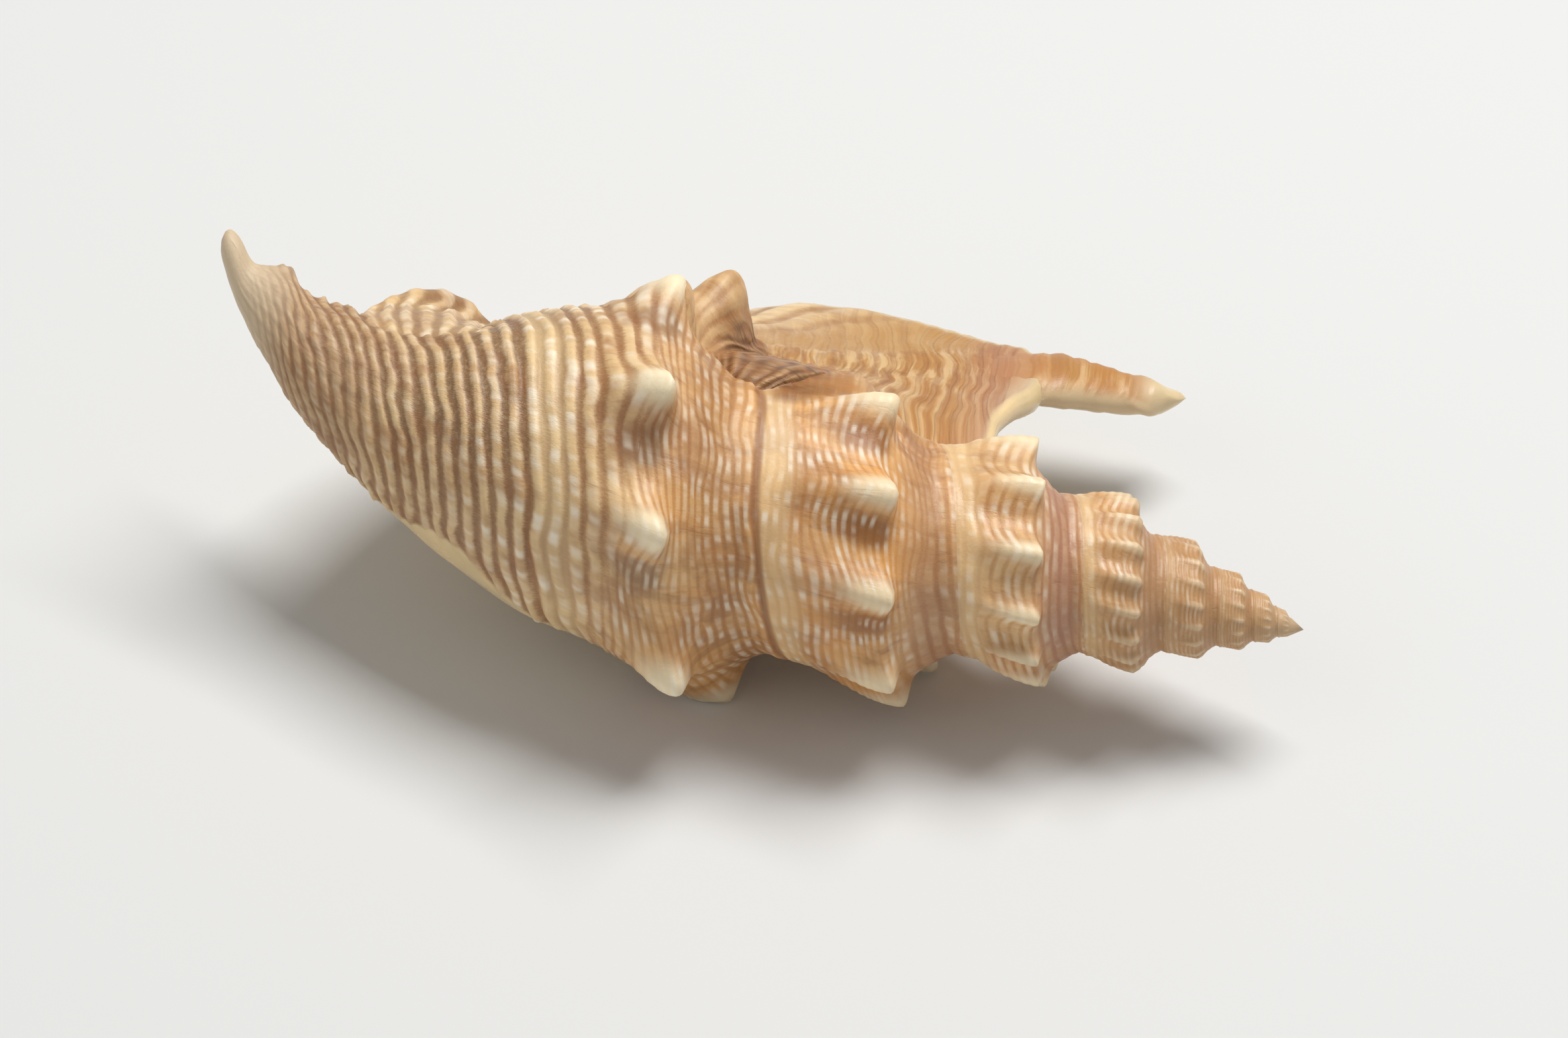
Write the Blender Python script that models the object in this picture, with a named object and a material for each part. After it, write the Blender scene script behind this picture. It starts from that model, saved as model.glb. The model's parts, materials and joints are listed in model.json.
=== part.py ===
"""A conch shell with a flared, horned lip, as one grown solid.

The shell is a right-handed spiral. Every point on its coiled wall has a turn number, which counts whorls from
the apex, and an angle round the coiling axis. Lengths in the design are millimetres along or away from that
axis. The flared lip is a second sheet that leaves the body whorl, fans out and ends in a rear horn. A Boolean
union grows the two together, and the finished shell is laid on its aperture, as it rests on a table.
"""

import math

import bmesh
import bpy
import numpy as np
from mathutils import Matrix

MM = 0.001
NAME = "conch_shell"

# Coiling: axial distance from the apex against turn number.
APEX_TURN = 0.917
APEX_SCALE = 2.42
GROWTH_PER_TURN = 0.417
BODY_TURN = 9.152
BODY_START = 72.75
BODY_PITCH = 28.8
CANAL_SQUEEZE = 0.2076
TIP_TURN = 12.0
LAST_SUTURE = 9
SEAM_ANGLE = 129.3

# Radius of the coiled wall, and the sideways rise and the flatness of the canal, by axial distance in
# millimetres from the apex.
RADIUS = (
    (0.0, 0.0), (2.6, 1.6), (7.0, 3.6), (11.4, 5.2), (18.4, 7.6), (28.1, 10.0), (45.1, 13.7),
    (67.4, 18.0), (80.0, 19.9), (92.4, 19.4), (105.3, 15.9), (113.5, 12.0), (120.6, 9.4), (128.4, 6.6),
    (132.1, 5.6), (134.6, 4.5), (137.0, 3.1), (138.8, 2.9), (140.3, 1.9), (141.1, 0.0),
)
CANAL_RISE = (
    (0.0, 0.0), (28.0, 0.0), (40.0, -0.3), (52.0, -1.2), (70.0, -1.3), (85.0, -0.3), (92.4, 0.3),
    (105.3, 1.7), (113.5, 2.2), (120.6, 4.1), (128.4, 7.1), (132.1, 10.2), (134.6, 11.7),
    (137.0, 13.5), (138.8, 15.9), (140.3, 17.7), (141.1, 18.3),
)
CANAL_FLATNESS = ((0.0, 1.0), (105.0, 1.0), (113.0, 0.9), (121.0, 0.8), (130.0, 0.72), (141.1, 0.8))

# Whorl section, in fractions of a whorl from its upper suture.
CREST = 0.55
SUTURE_LEVEL = 0.96
RAMP_DIP = 0.05
SWELL = ((0.0, 0.14), (15.0, 0.17), (27.0, 0.19), (40.0, 0.16), (55.0, 0.17), (70.0, 0.15), (90.0, 0.11))

# Knobs: growth angles in degrees, 0 where the body whorl faces left, then heights by axial distance.
BODY_KNOBS = (-200.0, -155.0, -110.0, -61.0, -10.0, 28.0, 85.0, 128.0, 175.0)
SPIRE_KNOBS = (
    -796.0, -772.0, -744.0, -712.0, -676.0, -637.0, -603.0, -568.0, -532.0, -495.0,
    -455.0, -422.0, -378.0, -341.0, -302.0, -270.0, -233.0,
)
FINE_KNOB_STEP = 23.0
FINE_KNOB_COUNT = 90
KNOB_HEIGHT = (
    (0.0, 0.0), (6.0, 0.12), (15.0, 0.4), (24.0, 1.2), (35.0, 2.4), (53.0, 3.6), (70.0, 4.4),
    (83.0, 5.4), (95.0, 6.0),
)
KNOB_WIDTH = 0.23
KNOB_REAR = 0.11
KNOB_FRONT = ((0.0, 0.3), (35.0, 0.38), (53.0, 0.26), (80.0, 0.2))
KNOB_STRENGTH = (
    (-3000.0, 1.0), (-530.0, 1.0), (-492.0, 1.5), (-455.0, 1.0), (-240.0, 1.0), (-215.0, 0.2),
    (-180.0, 0.2), (-150.0, 0.8), (-110.0, 1.0), (200.0, 1.0),
)
KNOB_LEAN = 0.35
KNOB_PLACE = (
    (-3000.0, 0.40), (-1200.0, 0.40), (-1000.0, 0.43), (-740.0, 0.48), (-380.0, 0.47), (-170.0, 0.40),
    (-110.0, 0.37), (-61.0, 0.44), (-10.0, 0.52), (28.0, 0.51), (85.0, 0.40), (200.0, 0.38),
)

# Aperture: the window of angles over which the coiled wall sinks under the lip.
APERTURE_BACK = (100.0, 128.0)
APERTURE_FRONT = (178.0, 252.0)
APERTURE_DEPTH = 0.52
APERTURE_START = (62.0, 78.0)
APERTURE_END = (126.0, 139.0)

# Flared lip: its margin from the spire round the horn to the canal, as (axial distance, towards the left,
# up, axial distance where the growth line leaves the body whorl).
MARGIN = (
    (45.6, -3.0, 9.0, 71.3), (42.3, -10.5, 12.2, 72.3), (41.8, -16.2, 16.2, 73.0),
    (40.4, -21.4, 19.3, 73.8), (37.2, -26.2, 21.4, 74.6), (32.3, -29.9, 22.6, 75.6),
    (26.4, -33.0, 23.6, 76.8), (21.6, -35.2, 24.7, 78.0), (19.3, -36.6, 25.8, 79.4),
    (24.9, -37.2, 26.4, 80.8), (30.8, -38.0, 26.6, 82.0), (37.3, -39.2, 26.5, 83.2),
    (43.9, -41.2, 26.3, 84.4), (52.4, -44.8, 26.9, 86.6), (62.1, -49.2, 26.9, 89.6),
    (72.4, -52.4, 25.0, 93.1), (82.5, -53.6, 18.4, 97.0), (91.2, -51.4, 12.6, 100.9),
    (98.9, -45.6, 10.7, 104.8), (105.3, -37.8, 13.4, 108.2), (111.2, -29.1, 17.9, 111.6),
    (116.4, -22.0, 17.9, 115.0), (120.6, -15.5, 15.2, 118.0), (123.0, -9.0, 12.5, 120.5),
    (124.5, -2.5, 9.5, 122.5),
)
LIP_START_ANGLE = 80.0
LIP_SWEEP = 75.0
LIP_FLARE = 1.9
LIP_LOOSE = (0.15, 0.5)
LIP_RELAXING = 15
NORMAL_SMOOTHING = 5
LIP_THICKNESS = 2.6
HORN_THICKNESS = 5.2
HORN_RANGE = (34.0, 46.0)
LIP_TAPER = 0.6
TAPER_RANGE = (112.0, 122.0)
KEEL_BASE = 82.0
KEEL_HEIGHT = 1.3
KEEL_WIDTH = 1.6
LIP_KNOB_PLACE = (0.27, 83.0)
LIP_KNOB_HEIGHT = 8.6

# Mesh density.
COLUMNS_PER_TURN = 40
ROWS_PER_TURN = 7
FIRST_TURN = 3.0
LIP_ROWS = 12
LIP_COLUMNS = 48

# Lie of the shell: slope of the coiling axis, turn that brings the left side forward, and the trim that
# seats it on the lip and the knobs of its underside.
AXIS_SLOPE = math.radians(12.4)
SIDE_LIFT = math.radians(38.0)
REST_ROLL = math.radians(-4.2)
REST_PITCH = math.radians(-3.8)

SHELL_COLOUR = (0.66, 0.47, 0.28, 1.0)
SHELL_ROUGHNESS = 0.5


def blend(value, low, high):
    """Smooth step from 0 at low to 1 at high."""
    part = np.clip((value - low) / (high - low), 0.0, 1.0)
    return part * part * (3.0 - 2.0 * part)


def curve(value, points):
    """Smooth curve through (x, y) points that never overshoots them."""
    x, y = np.array(points, float).T
    step = np.diff(x)
    slope = np.diff(y) / step
    turn = np.zeros(len(x))
    turn[0] = slope[0]
    turn[-1] = slope[-1]
    same_way = slope[:-1] * slope[1:] > 0.0
    mean = 2.0 * slope[:-1] * slope[1:] / np.where(same_way, slope[:-1] + slope[1:], 1.0)
    turn[1:-1] = np.where(same_way, mean, 0.0)
    at = np.clip(value, x[0], x[-1])
    piece = np.clip(np.searchsorted(x, at, side="right") - 1, 0, len(step) - 1)
    part = (at - x[piece]) / step[piece]
    rest = 1.0 - part
    ends = y[piece] * rest * rest * (1.0 + 2.0 * part) + y[piece + 1] * part * part * (3.0 - 2.0 * part)
    bends = turn[piece] * rest * rest * part - turn[piece + 1] * part * part * rest
    return ends + bends * step[piece]


def axial_distance(turn):
    """Distance along the axis from the apex, for a turn number."""
    spire = APEX_SCALE * (np.exp(GROWTH_PER_TURN * (np.minimum(turn, BODY_TURN) - APEX_TURN)) - 1.0)
    past = np.clip(turn, BODY_TURN, TIP_TURN) - BODY_TURN
    body = BODY_START + BODY_PITCH * past - CANAL_SQUEEZE * past**4
    return np.where(turn < BODY_TURN, np.maximum(spire, 0.0), body)


def turn_at(distance):
    """Turn number for a distance along the axis."""
    turns = np.linspace(APEX_TURN, TIP_TURN, 2000)
    return np.interp(distance, axial_distance(turns), turns)


def knob_angles():
    """Growth angles of all the knobs, from the fine ribs near the apex to the lip."""
    fine = [SPIRE_KNOBS[0] - FINE_KNOB_STEP * count for count in range(FINE_KNOB_COUNT, 0, -1)]
    return np.array(fine + list(SPIRE_KNOBS) + list(BODY_KNOBS))


def knob_relief(growth, place, distance):
    """Height of the knobs at a growth angle and a place across the whorl."""
    angles = knob_angles()
    count = np.interp(growth, angles, np.arange(len(angles)))
    across = np.exp(-(np.abs((count - np.round(count)) / KNOB_WIDTH) ** 2.4))
    past = place - curve(growth, KNOB_PLACE)
    reach = np.where(past < 0.0, KNOB_REAR, curve(distance, KNOB_FRONT))
    along = np.exp(-(np.abs(past / reach) ** 2.2))
    along = along * blend(place, 0.0, 0.1) * (1.0 - blend(place, 0.8, 1.0))
    return curve(distance, KNOB_HEIGHT) * curve(growth, KNOB_STRENGTH) * across * along


def whorl_level(place, distance):
    """Radius of the whorl section as a fraction of the plain cone."""
    rise = blend(place, 0.08, CREST)
    fall = 1.0 - blend(place, CREST, 1.0)
    dip = RAMP_DIP * blend(place, 0.0, 0.12) * (1.0 - blend(place, 0.14, 0.32))
    return curve(distance, SWELL) * rise * fall - dip


def wall(turn, angle, lip_side=False):
    """Axial distance and radius of the coiled wall at a turn number and an angle in degrees."""
    wrapped = SEAM_ANGLE - np.mod(SEAM_ANGLE - angle, 360.0)
    if lip_side:
        wrapped = angle
    distance = axial_distance(turn)
    past_suture = np.round(turn - wrapped / 360.0, 9)
    in_body = past_suture >= LAST_SUTURE
    place = np.where(in_body, past_suture - LAST_SUTURE, np.mod(past_suture, 1.0))
    whorl = np.where(in_body, LAST_SUTURE, np.floor(past_suture))
    growth = (whorl - LAST_SUTURE) * 360.0 + wrapped
    settle = np.where(in_body, blend(place, 0.1, 0.9), 0.0)
    level = SUTURE_LEVEL + (1.0 - SUTURE_LEVEL) * settle
    fade = np.ones_like(distance)
    if not lip_side:
        fade = np.where(in_body, 1.0 - blend(wrapped, 96.0, 126.0), 1.0)
    radius = curve(distance, RADIUS) * (level + whorl_level(place, distance) * fade)
    knob = knob_relief(growth, place, distance) * fade
    if lip_side:
        knob = knob * (1.0 - blend(angle, 90.0, 105.0))
    return distance - KNOB_LEAN * knob, radius + knob


def sink(angle, distance):
    """Factor that lowers the coiled wall under the lip, so that the aperture stays open."""
    around = np.mod(angle, 360.0)
    window = blend(around, *APERTURE_BACK) * (1.0 - blend(around, *APERTURE_FRONT))
    reach = blend(distance, *APERTURE_START) * (1.0 - blend(distance, *APERTURE_END))
    return 1.0 - APERTURE_DEPTH * window * reach


def place_points(distance, radius, angle):
    """Design points (along, left, up) from the cylindrical ones, on the rising canal."""
    radians = np.radians(angle)
    left = radius * np.cos(radians) * curve(distance, CANAL_FLATNESS)
    up = radius * np.sin(radians) + curve(distance, CANAL_RISE)
    return np.stack([distance, left, up], axis=-1)


def laid_down(points):
    """Turns design points in millimetres into the resting shell's metres."""
    slope, lift = AXIS_SLOPE, SIDE_LIFT
    right = np.array([1.0, 0.0, 0.0])
    rise = np.array([0.0, math.sin(lift), math.cos(lift)])
    front = np.array([0.0, -math.cos(lift), math.sin(lift)])
    along = -math.cos(slope) * right + math.sin(slope) * rise
    above = math.sin(slope) * right + math.cos(slope) * rise
    trim = np.array(Matrix.Rotation(REST_PITCH, 3, "Y") @ Matrix.Rotation(REST_ROLL, 3, "X"))
    return points @ np.array([along, front, above]) @ trim.T * MM


def mesh_object(name, points, faces, collection):
    """Closed mesh object from points and faces, with doubled points merged and faces pointing out."""
    mesh = bpy.data.meshes.new(name)
    mesh.from_pydata(points.tolist(), [], faces)
    solid = bmesh.new()
    solid.from_mesh(mesh)
    bmesh.ops.remove_doubles(solid, verts=solid.verts, dist=2e-5)
    bmesh.ops.dissolve_degenerate(solid, edges=solid.edges, dist=1e-6)
    bmesh.ops.recalc_face_normals(solid, faces=solid.faces)
    bmesh.ops.triangulate(solid, faces=solid.faces)
    solid.to_mesh(mesh)
    solid.free()
    mesh.shade_smooth()
    made = bpy.data.objects.new(name, mesh)
    collection.objects.link(made)
    return made


def coiled_wall(collection):
    """Spire, body whorl and canal: one helical strip whose edges meet turn on turn."""
    first = FIRST_TURN - 1.0
    columns = round((TIP_TURN - first) * COLUMNS_PER_TURN)
    turn, row = np.meshgrid(
        first + np.arange(columns + 1) / COLUMNS_PER_TURN,
        np.arange(ROWS_PER_TURN + 1) / ROWS_PER_TURN,
        indexing="ij",
    )
    angle = turn * 360.0
    height = np.clip(turn + row, FIRST_TURN, TIP_TURN)
    distance, radius = wall(height, angle)
    radius = radius * sink(angle, distance)
    start = height <= FIRST_TURN
    distance = np.where(start, 0.0, distance)
    radius = np.where(start | (height >= TIP_TURN), 0.0, radius)
    distance = np.where(height >= TIP_TURN, axial_distance(TIP_TURN), distance)
    points = laid_down(place_points(distance, radius, angle)).reshape(-1, 3)
    wide = ROWS_PER_TURN + 1
    faces = []
    for column in range(columns):
        for line in range(ROWS_PER_TURN):
            corner = column * wide + line
            faces.append((corner, corner + 1, corner + 1 + wide, corner + wide))
    return mesh_object(NAME, points, faces, collection)


def margin_curve(samples):
    """Margin of the lip as a smooth curve through its points, with the base distances as a fourth value."""
    knots = np.array(MARGIN)
    place = np.linspace(0.0, len(knots) - 1.0, samples)
    piece = np.minimum(place.astype(int), len(knots) - 2)
    part = (place - piece)[:, None]
    ends = np.vstack([2 * knots[0] - knots[1], knots, 2 * knots[-1] - knots[-2]])
    before, here, there, after = (ends[piece + shift] for shift in range(4))
    cubic = (there - before) * part
    cubic += (2 * before - 5 * here + 4 * there - after) * part**2
    cubic += (3 * here - before - 3 * there + after) * part**3
    return here + 0.5 * cubic


def neighbour_mean(grid):
    """Mean of the four neighbours of every point of a grid, a border point standing in for those it lacks."""
    wide = np.pad(grid, ((1, 1), (1, 1), (0, 0)), mode="edge")
    return (wide[2:, 1:-1] + wide[:-2, 1:-1] + wide[1:-1, 2:] + wide[1:-1, :-2]) / 4.0


def lip_sheet(rows, columns):
    """Middle surface of the lip, its distance from the edge and its base distances, all on one grid."""
    margin = margin_curve(columns + 1)
    share = np.linspace(0.0, 1.0, rows + 1)[:, None]
    angle = LIP_START_ANGLE + LIP_SWEEP * share
    base = margin[None, :, 3]
    turn = turn_at(base) + (angle - LIP_START_ANGLE) / 360.0
    distance, radius = wall(turn, angle + 0.0 * base, lip_side=True)
    body = place_points(distance, radius - LIP_THICKNESS / 2.0 - 0.4, angle)
    flare = (share**LIP_FLARE)[..., None]
    sheet = body * (1.0 - flare) + margin[None, :, :3] * flare
    loose = blend(share, *LIP_LOOSE)[1:-1, :, None] / 2.0
    for _ in range(LIP_RELAXING):
        sheet[1:-1, 1:-1] += (neighbour_mean(sheet) - sheet)[1:-1, 1:-1] * loose
    knob = np.exp(-(((share - LIP_KNOB_PLACE[0]) / 0.10) ** 2) - ((base - LIP_KNOB_PLACE[1]) / 3.4) ** 2)
    keel = np.exp(-(((base - KEEL_BASE) / KEEL_WIDTH) ** 2)) * blend(share, 0.1, 0.4) * (1.0 - share)
    sheet[..., 2] += LIP_KNOB_HEIGHT * knob + KEEL_HEIGHT * keel
    sheet[..., 0] -= 0.2 * LIP_KNOB_HEIGHT * knob
    return sheet


def sheet_normals(sheet):
    """Unit normals of a grid of points, pointing to the outside of the lip and evened out over neighbours."""
    normal = np.cross(np.gradient(sheet, axis=1), np.gradient(sheet, axis=0))
    for _ in range(NORMAL_SMOOTHING):
        normal = normal / np.maximum(np.linalg.norm(normal, axis=-1, keepdims=True), 1e-9)
        normal = (normal + neighbour_mean(normal)) / 2.0
    return normal / np.maximum(np.linalg.norm(normal, axis=-1, keepdims=True), 1e-9)


def edge_distance(sheet):
    """Distance of every point of a grid from the nearest point of its edge."""
    edge = np.concatenate([sheet[-1], sheet[0], sheet[:, 0], sheet[:, -1]])
    gaps = [np.linalg.norm(sheet - point, axis=-1) for point in edge]
    return np.min(gaps, axis=0)


def flared_lip(collection):
    """Flared lip with its horn: a sheet with a rounded edge, thickest along the horn."""
    sheet = lip_sheet(LIP_ROWS, LIP_COLUMNS)
    horn = 1.0 - blend(sheet[..., 0], *HORN_RANGE)
    full = LIP_THICKNESS + (HORN_THICKNESS - LIP_THICKNESS) * horn
    full = full * (1.0 - LIP_TAPER * blend(sheet[..., 0], *TAPER_RANGE))
    reach = np.clip(edge_distance(sheet) / (full / 2.0), 0.0, 1.0)
    half = (full / 2.0 * np.sqrt(1.0 - (1.0 - reach) ** 2))[..., None]
    normal = sheet_normals(sheet)
    outer = laid_down(sheet + normal * half).reshape(-1, 3)
    inner = laid_down(sheet - normal * half).reshape(-1, 3)
    wide = LIP_COLUMNS + 1
    count = len(outer)
    faces = []
    for row in range(LIP_ROWS):
        for column in range(LIP_COLUMNS):
            corner = row * wide + column
            quad = [corner, corner + 1, corner + 1 + wide, corner + wide]
            if (row < LIP_ROWS // 2) != (column < LIP_COLUMNS // 2):
                quad = quad[1:] + quad[:1]
            for half in (quad[:3], [quad[0], quad[2], quad[3]]):
                faces.append(half)
                faces.append([count + point for point in reversed(half)])
    return mesh_object("flared_lip", np.concatenate([outer, inner]), faces, collection)


def shell_material():
    """Plain shell colour."""
    material = bpy.data.materials.new("shell")
    material.use_nodes = True
    shader = material.node_tree.nodes["Principled BSDF"]
    shader.inputs["Base Color"].default_value = SHELL_COLOUR
    shader.inputs["Roughness"].default_value = SHELL_ROUGHNESS
    return material


def stand_at_origin(pieces):
    """Moves the meshes so that the shell stands on the ground, centred over the origin."""
    corners = []
    for piece in pieces:
        flat = np.empty(len(piece.data.vertices) * 3)
        piece.data.vertices.foreach_get("co", flat)
        corners.append(flat.reshape(-1, 3))
    points = np.concatenate(corners)
    low, high = points.min(axis=0), points.max(axis=0)
    shift = Matrix.Translation((-(low[0] + high[0]) / 2.0, -(low[1] + high[1]) / 2.0, -low[2]))
    for piece in pieces:
        piece.data.transform(shift)


def clear_scene():
    """Removes whatever the scene holds."""
    for item in list(bpy.data.objects):
        bpy.data.objects.remove(item, do_unlink=True)


def main():
    """Builds the shell."""
    clear_scene()
    shell_parts = bpy.data.collections.new("conch")
    helpers = bpy.data.collections.new("helpers")
    for collection in (shell_parts, helpers):
        bpy.context.scene.collection.children.link(collection)
    shell = coiled_wall(shell_parts)
    lip = flared_lip(helpers)
    stand_at_origin((shell, lip))
    lip.hide_render = True
    lip.display_type = "WIRE"
    union = shell.modifiers.new("grow_lip", "BOOLEAN")
    union.operation = "UNION"
    union.object = lip
    union.solver = "EXACT"
    shell.data.materials.append(shell_material())


main()
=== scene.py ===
"""A conch shell that lies on its flared lip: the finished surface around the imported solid.

Every point on the coiled wall has a turn number, which counts whorls from the apex, and an angle in
degrees round the coiling axis, 0 where the body whorl faces left. Sizes are millimetres along or away
from that axis. The wall, the lip and the horn are shaped on grids, ribbed, and grown together into one
closed skin. Two UV maps follow the growth: "ribs" holds the rib number and the distance grown, "bands"
the number of the lip's growth band, on the wall the place along the axis, and the distance grown.
"""

import json
import logging
import math
from collections.abc import Iterator
from contextlib import contextmanager
from dataclasses import dataclass
from enum import Enum
from functools import partial, reduce

import bpy
import numpy as np
from mathutils import Matrix, Vector

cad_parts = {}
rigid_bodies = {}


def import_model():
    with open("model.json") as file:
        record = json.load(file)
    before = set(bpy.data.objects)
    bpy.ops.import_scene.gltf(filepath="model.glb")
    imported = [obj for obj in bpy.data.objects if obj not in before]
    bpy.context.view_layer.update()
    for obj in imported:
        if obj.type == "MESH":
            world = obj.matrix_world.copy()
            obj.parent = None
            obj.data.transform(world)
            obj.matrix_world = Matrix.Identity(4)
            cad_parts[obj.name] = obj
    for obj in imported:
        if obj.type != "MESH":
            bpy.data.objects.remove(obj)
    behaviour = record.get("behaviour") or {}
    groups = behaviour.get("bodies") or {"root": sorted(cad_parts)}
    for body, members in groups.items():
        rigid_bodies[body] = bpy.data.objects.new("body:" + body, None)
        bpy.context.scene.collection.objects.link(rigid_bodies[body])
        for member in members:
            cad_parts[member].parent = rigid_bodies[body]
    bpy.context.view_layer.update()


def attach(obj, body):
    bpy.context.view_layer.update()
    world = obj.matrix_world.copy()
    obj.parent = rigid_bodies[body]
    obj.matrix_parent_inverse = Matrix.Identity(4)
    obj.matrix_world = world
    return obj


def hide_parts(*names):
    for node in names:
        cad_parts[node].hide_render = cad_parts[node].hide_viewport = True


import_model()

LOG = logging.getLogger("conch_shell")
Array = np.ndarray
Span = tuple[float, float]
Pairs = tuple[Span, ...]
Colour = tuple[float, float, float]
Ramp = tuple[float, ...]
Trend = tuple[float, float]
Socket = bpy.types.NodeSocket
MM = 0.001
FULL_TURN = 360.0
RIBS_PER_TURN = 12
BANDS_PER_MM = 0.5
GROWN_SCALE = 0.1
TINY = 1e-9
WELD = 2e-6
SLIVER = 1e-7


class Layer(Enum):
    """Colour attributes of the skin, each with four channels."""

    WEAR = "wear"  # knob, glaze, grime (on the lip also the hollow's painted shade), banded
    TINT = "tint"  # warm, mauve, pale, spire
    MARKS = "marks"  # dash, suture, valley (dark hollow, partly painted shade), beyond
    KIND = "kind"  # fine ribs, painted shade beside the knobs, body, quiet


def blend(value: Array | float, low: float, high: float) -> Array:
    """Smooth step from 0 at low to 1 at high."""
    part = np.clip((value - low) / (high - low), 0.0, 1.0)
    return part * part * (3.0 - 2.0 * part)


def window(value: Array | float, rise: Span, fall: Span) -> Array:
    """Smooth step from 0 to 1 over the rise and back to 0 over the fall."""
    return blend(value, *rise) * (1.0 - blend(value, *fall))


def bell(value: Array, middle: float, width: float) -> Array:
    """Smooth hump of height 1 at a middle, a width away down to about a third."""
    return np.exp(-(((value - middle) / width) ** 2))


def follow(value: Array | float, points: Pairs) -> Array:
    """Smooth curve through points that never overshoots them.

    Args:
        value: where to read the curve.
        points: (x, y) pairs in rising order of x.

    Returns:
        The curve's height at each value, held level past the ends.
    """
    x, y = np.array(points, float).T
    step = np.diff(x)
    slope = np.diff(y) / step
    turn = np.zeros(len(x))
    turn[0] = slope[0]
    turn[-1] = slope[-1]
    same_way = slope[:-1] * slope[1:] > 0.0
    mean = 2.0 * slope[:-1] * slope[1:] / np.where(same_way, slope[:-1] + slope[1:], 1.0)
    turn[1:-1] = np.where(same_way, mean, 0.0)
    at = np.clip(value, x[0], x[-1])
    piece = np.clip(np.searchsorted(x, at, side="right") - 1, 0, len(step) - 1)
    part = (at - x[piece]) / step[piece]
    rest = 1.0 - part
    ends = y[piece] * rest * rest * (1.0 + 2.0 * part) + y[piece + 1] * part * part * (3.0 - 2.0 * part)
    bends = turn[piece] * rest * rest * part - turn[piece + 1] * part * part * rest
    return ends + bends * step[piece]


def scatter(x: Array, y: Array) -> Array:
    """Repeatable value from 0 to 1 for each pair of whole numbers."""
    mixed = np.sin(x * 127.1 + y * 311.7) * 43758.5453
    return mixed - np.floor(mixed)


def drift(x: Array, y: Array) -> Array:
    """Smooth wandering value over two coordinates, about one hump a unit.

    Args:
        x: first coordinate.
        y: second coordinate.

    Returns:
        Values from -1 to 1, the same on each run.
    """
    left, low = np.floor(x), np.floor(y)
    across, up = blend(x - left, 0.0, 1.0), blend(y - low, 0.0, 1.0)
    near = scatter(left, low) * (1.0 - across) + scatter(left + 1.0, low) * across
    far = scatter(left, low + 1.0) * (1.0 - across) + scatter(left + 1.0, low + 1.0) * across
    return 2.0 * (near * (1.0 - up) + far * up) - 1.0


@dataclass(frozen=True)
class Wander:
    """Smooth unevenness over two coordinates: its size, its humps in a unit of each, and its shifts."""

    size: float
    first: float
    second: float
    shifts: Span = (0.0, 0.0)

    def at(self, x: Array, y: Array) -> Array:
        """Unevenness at places, between minus and plus its size."""
        return self.size * drift(x * self.first + self.shifts[0], y * self.second + self.shifts[1])


def channels(*parts: Array | float) -> Array:
    """Puts values beside one another along a new last axis, a number standing for a whole grid of it."""
    return np.stack(np.broadcast_arrays(*parts), axis=-1)


def neighbour_mean(grid: Array) -> Array:
    """Mean of every grid point's four neighbours, a border point standing in for those it lacks."""
    wide = np.pad(grid, ((1, 1), (1, 1), (0, 0)), mode="edge")
    return (wide[2:, 1:-1] + wide[:-2, 1:-1] + wide[1:-1, 2:] + wide[1:-1, :-2]) / 4.0


def unit(vectors: Array) -> Array:
    """Vectors brought to length 1 along the last axis."""
    return vectors / np.maximum(np.linalg.norm(vectors, axis=-1, keepdims=True), TINY)


def refined(grid: Array, places: Array, axis: int = 0) -> Array:
    """Reads a grid between its points, on a smooth curve through them.

    Args:
        grid: values on a grid of any number of axes.
        places: fractional places along one axis.
        axis: the axis to refine.

    Returns:
        The grid with one entry for each place along that axis.
    """
    knots = np.moveaxis(grid, axis, 0)
    piece = np.minimum(places.astype(int), len(knots) - 2)
    part = (places - piece).reshape((-1,) + (1,) * (knots.ndim - 1))
    ends = np.concatenate([2 * knots[:1] - knots[1:2], knots, 2 * knots[-1:] - knots[-2:-1]])
    before, here, there, after = (ends[piece + shift] for shift in range(4))
    cubic = (there - before) * part
    cubic = cubic + (2 * before - 5 * here + 4 * there - after) * part**2
    cubic = cubic + (3 * here - before - 3 * there + after) * part**3
    return np.moveaxis(here + 0.5 * cubic, 0, axis)


def edge_distance(sheet: Array) -> Array:
    """Distance of every point of a grid from the nearest point of its edge.

    Args:
        sheet: grid of points.

    Returns:
        One distance for each point, 0 along the edge.
    """
    edge = np.concatenate([sheet[-1], sheet[0], sheet[:, 0], sheet[:, -1]])
    least = np.full(sheet.shape[:2], np.inf)
    for point in edge:
        least = np.minimum(least, np.linalg.norm(sheet - point, axis=-1))
    return least


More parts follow.
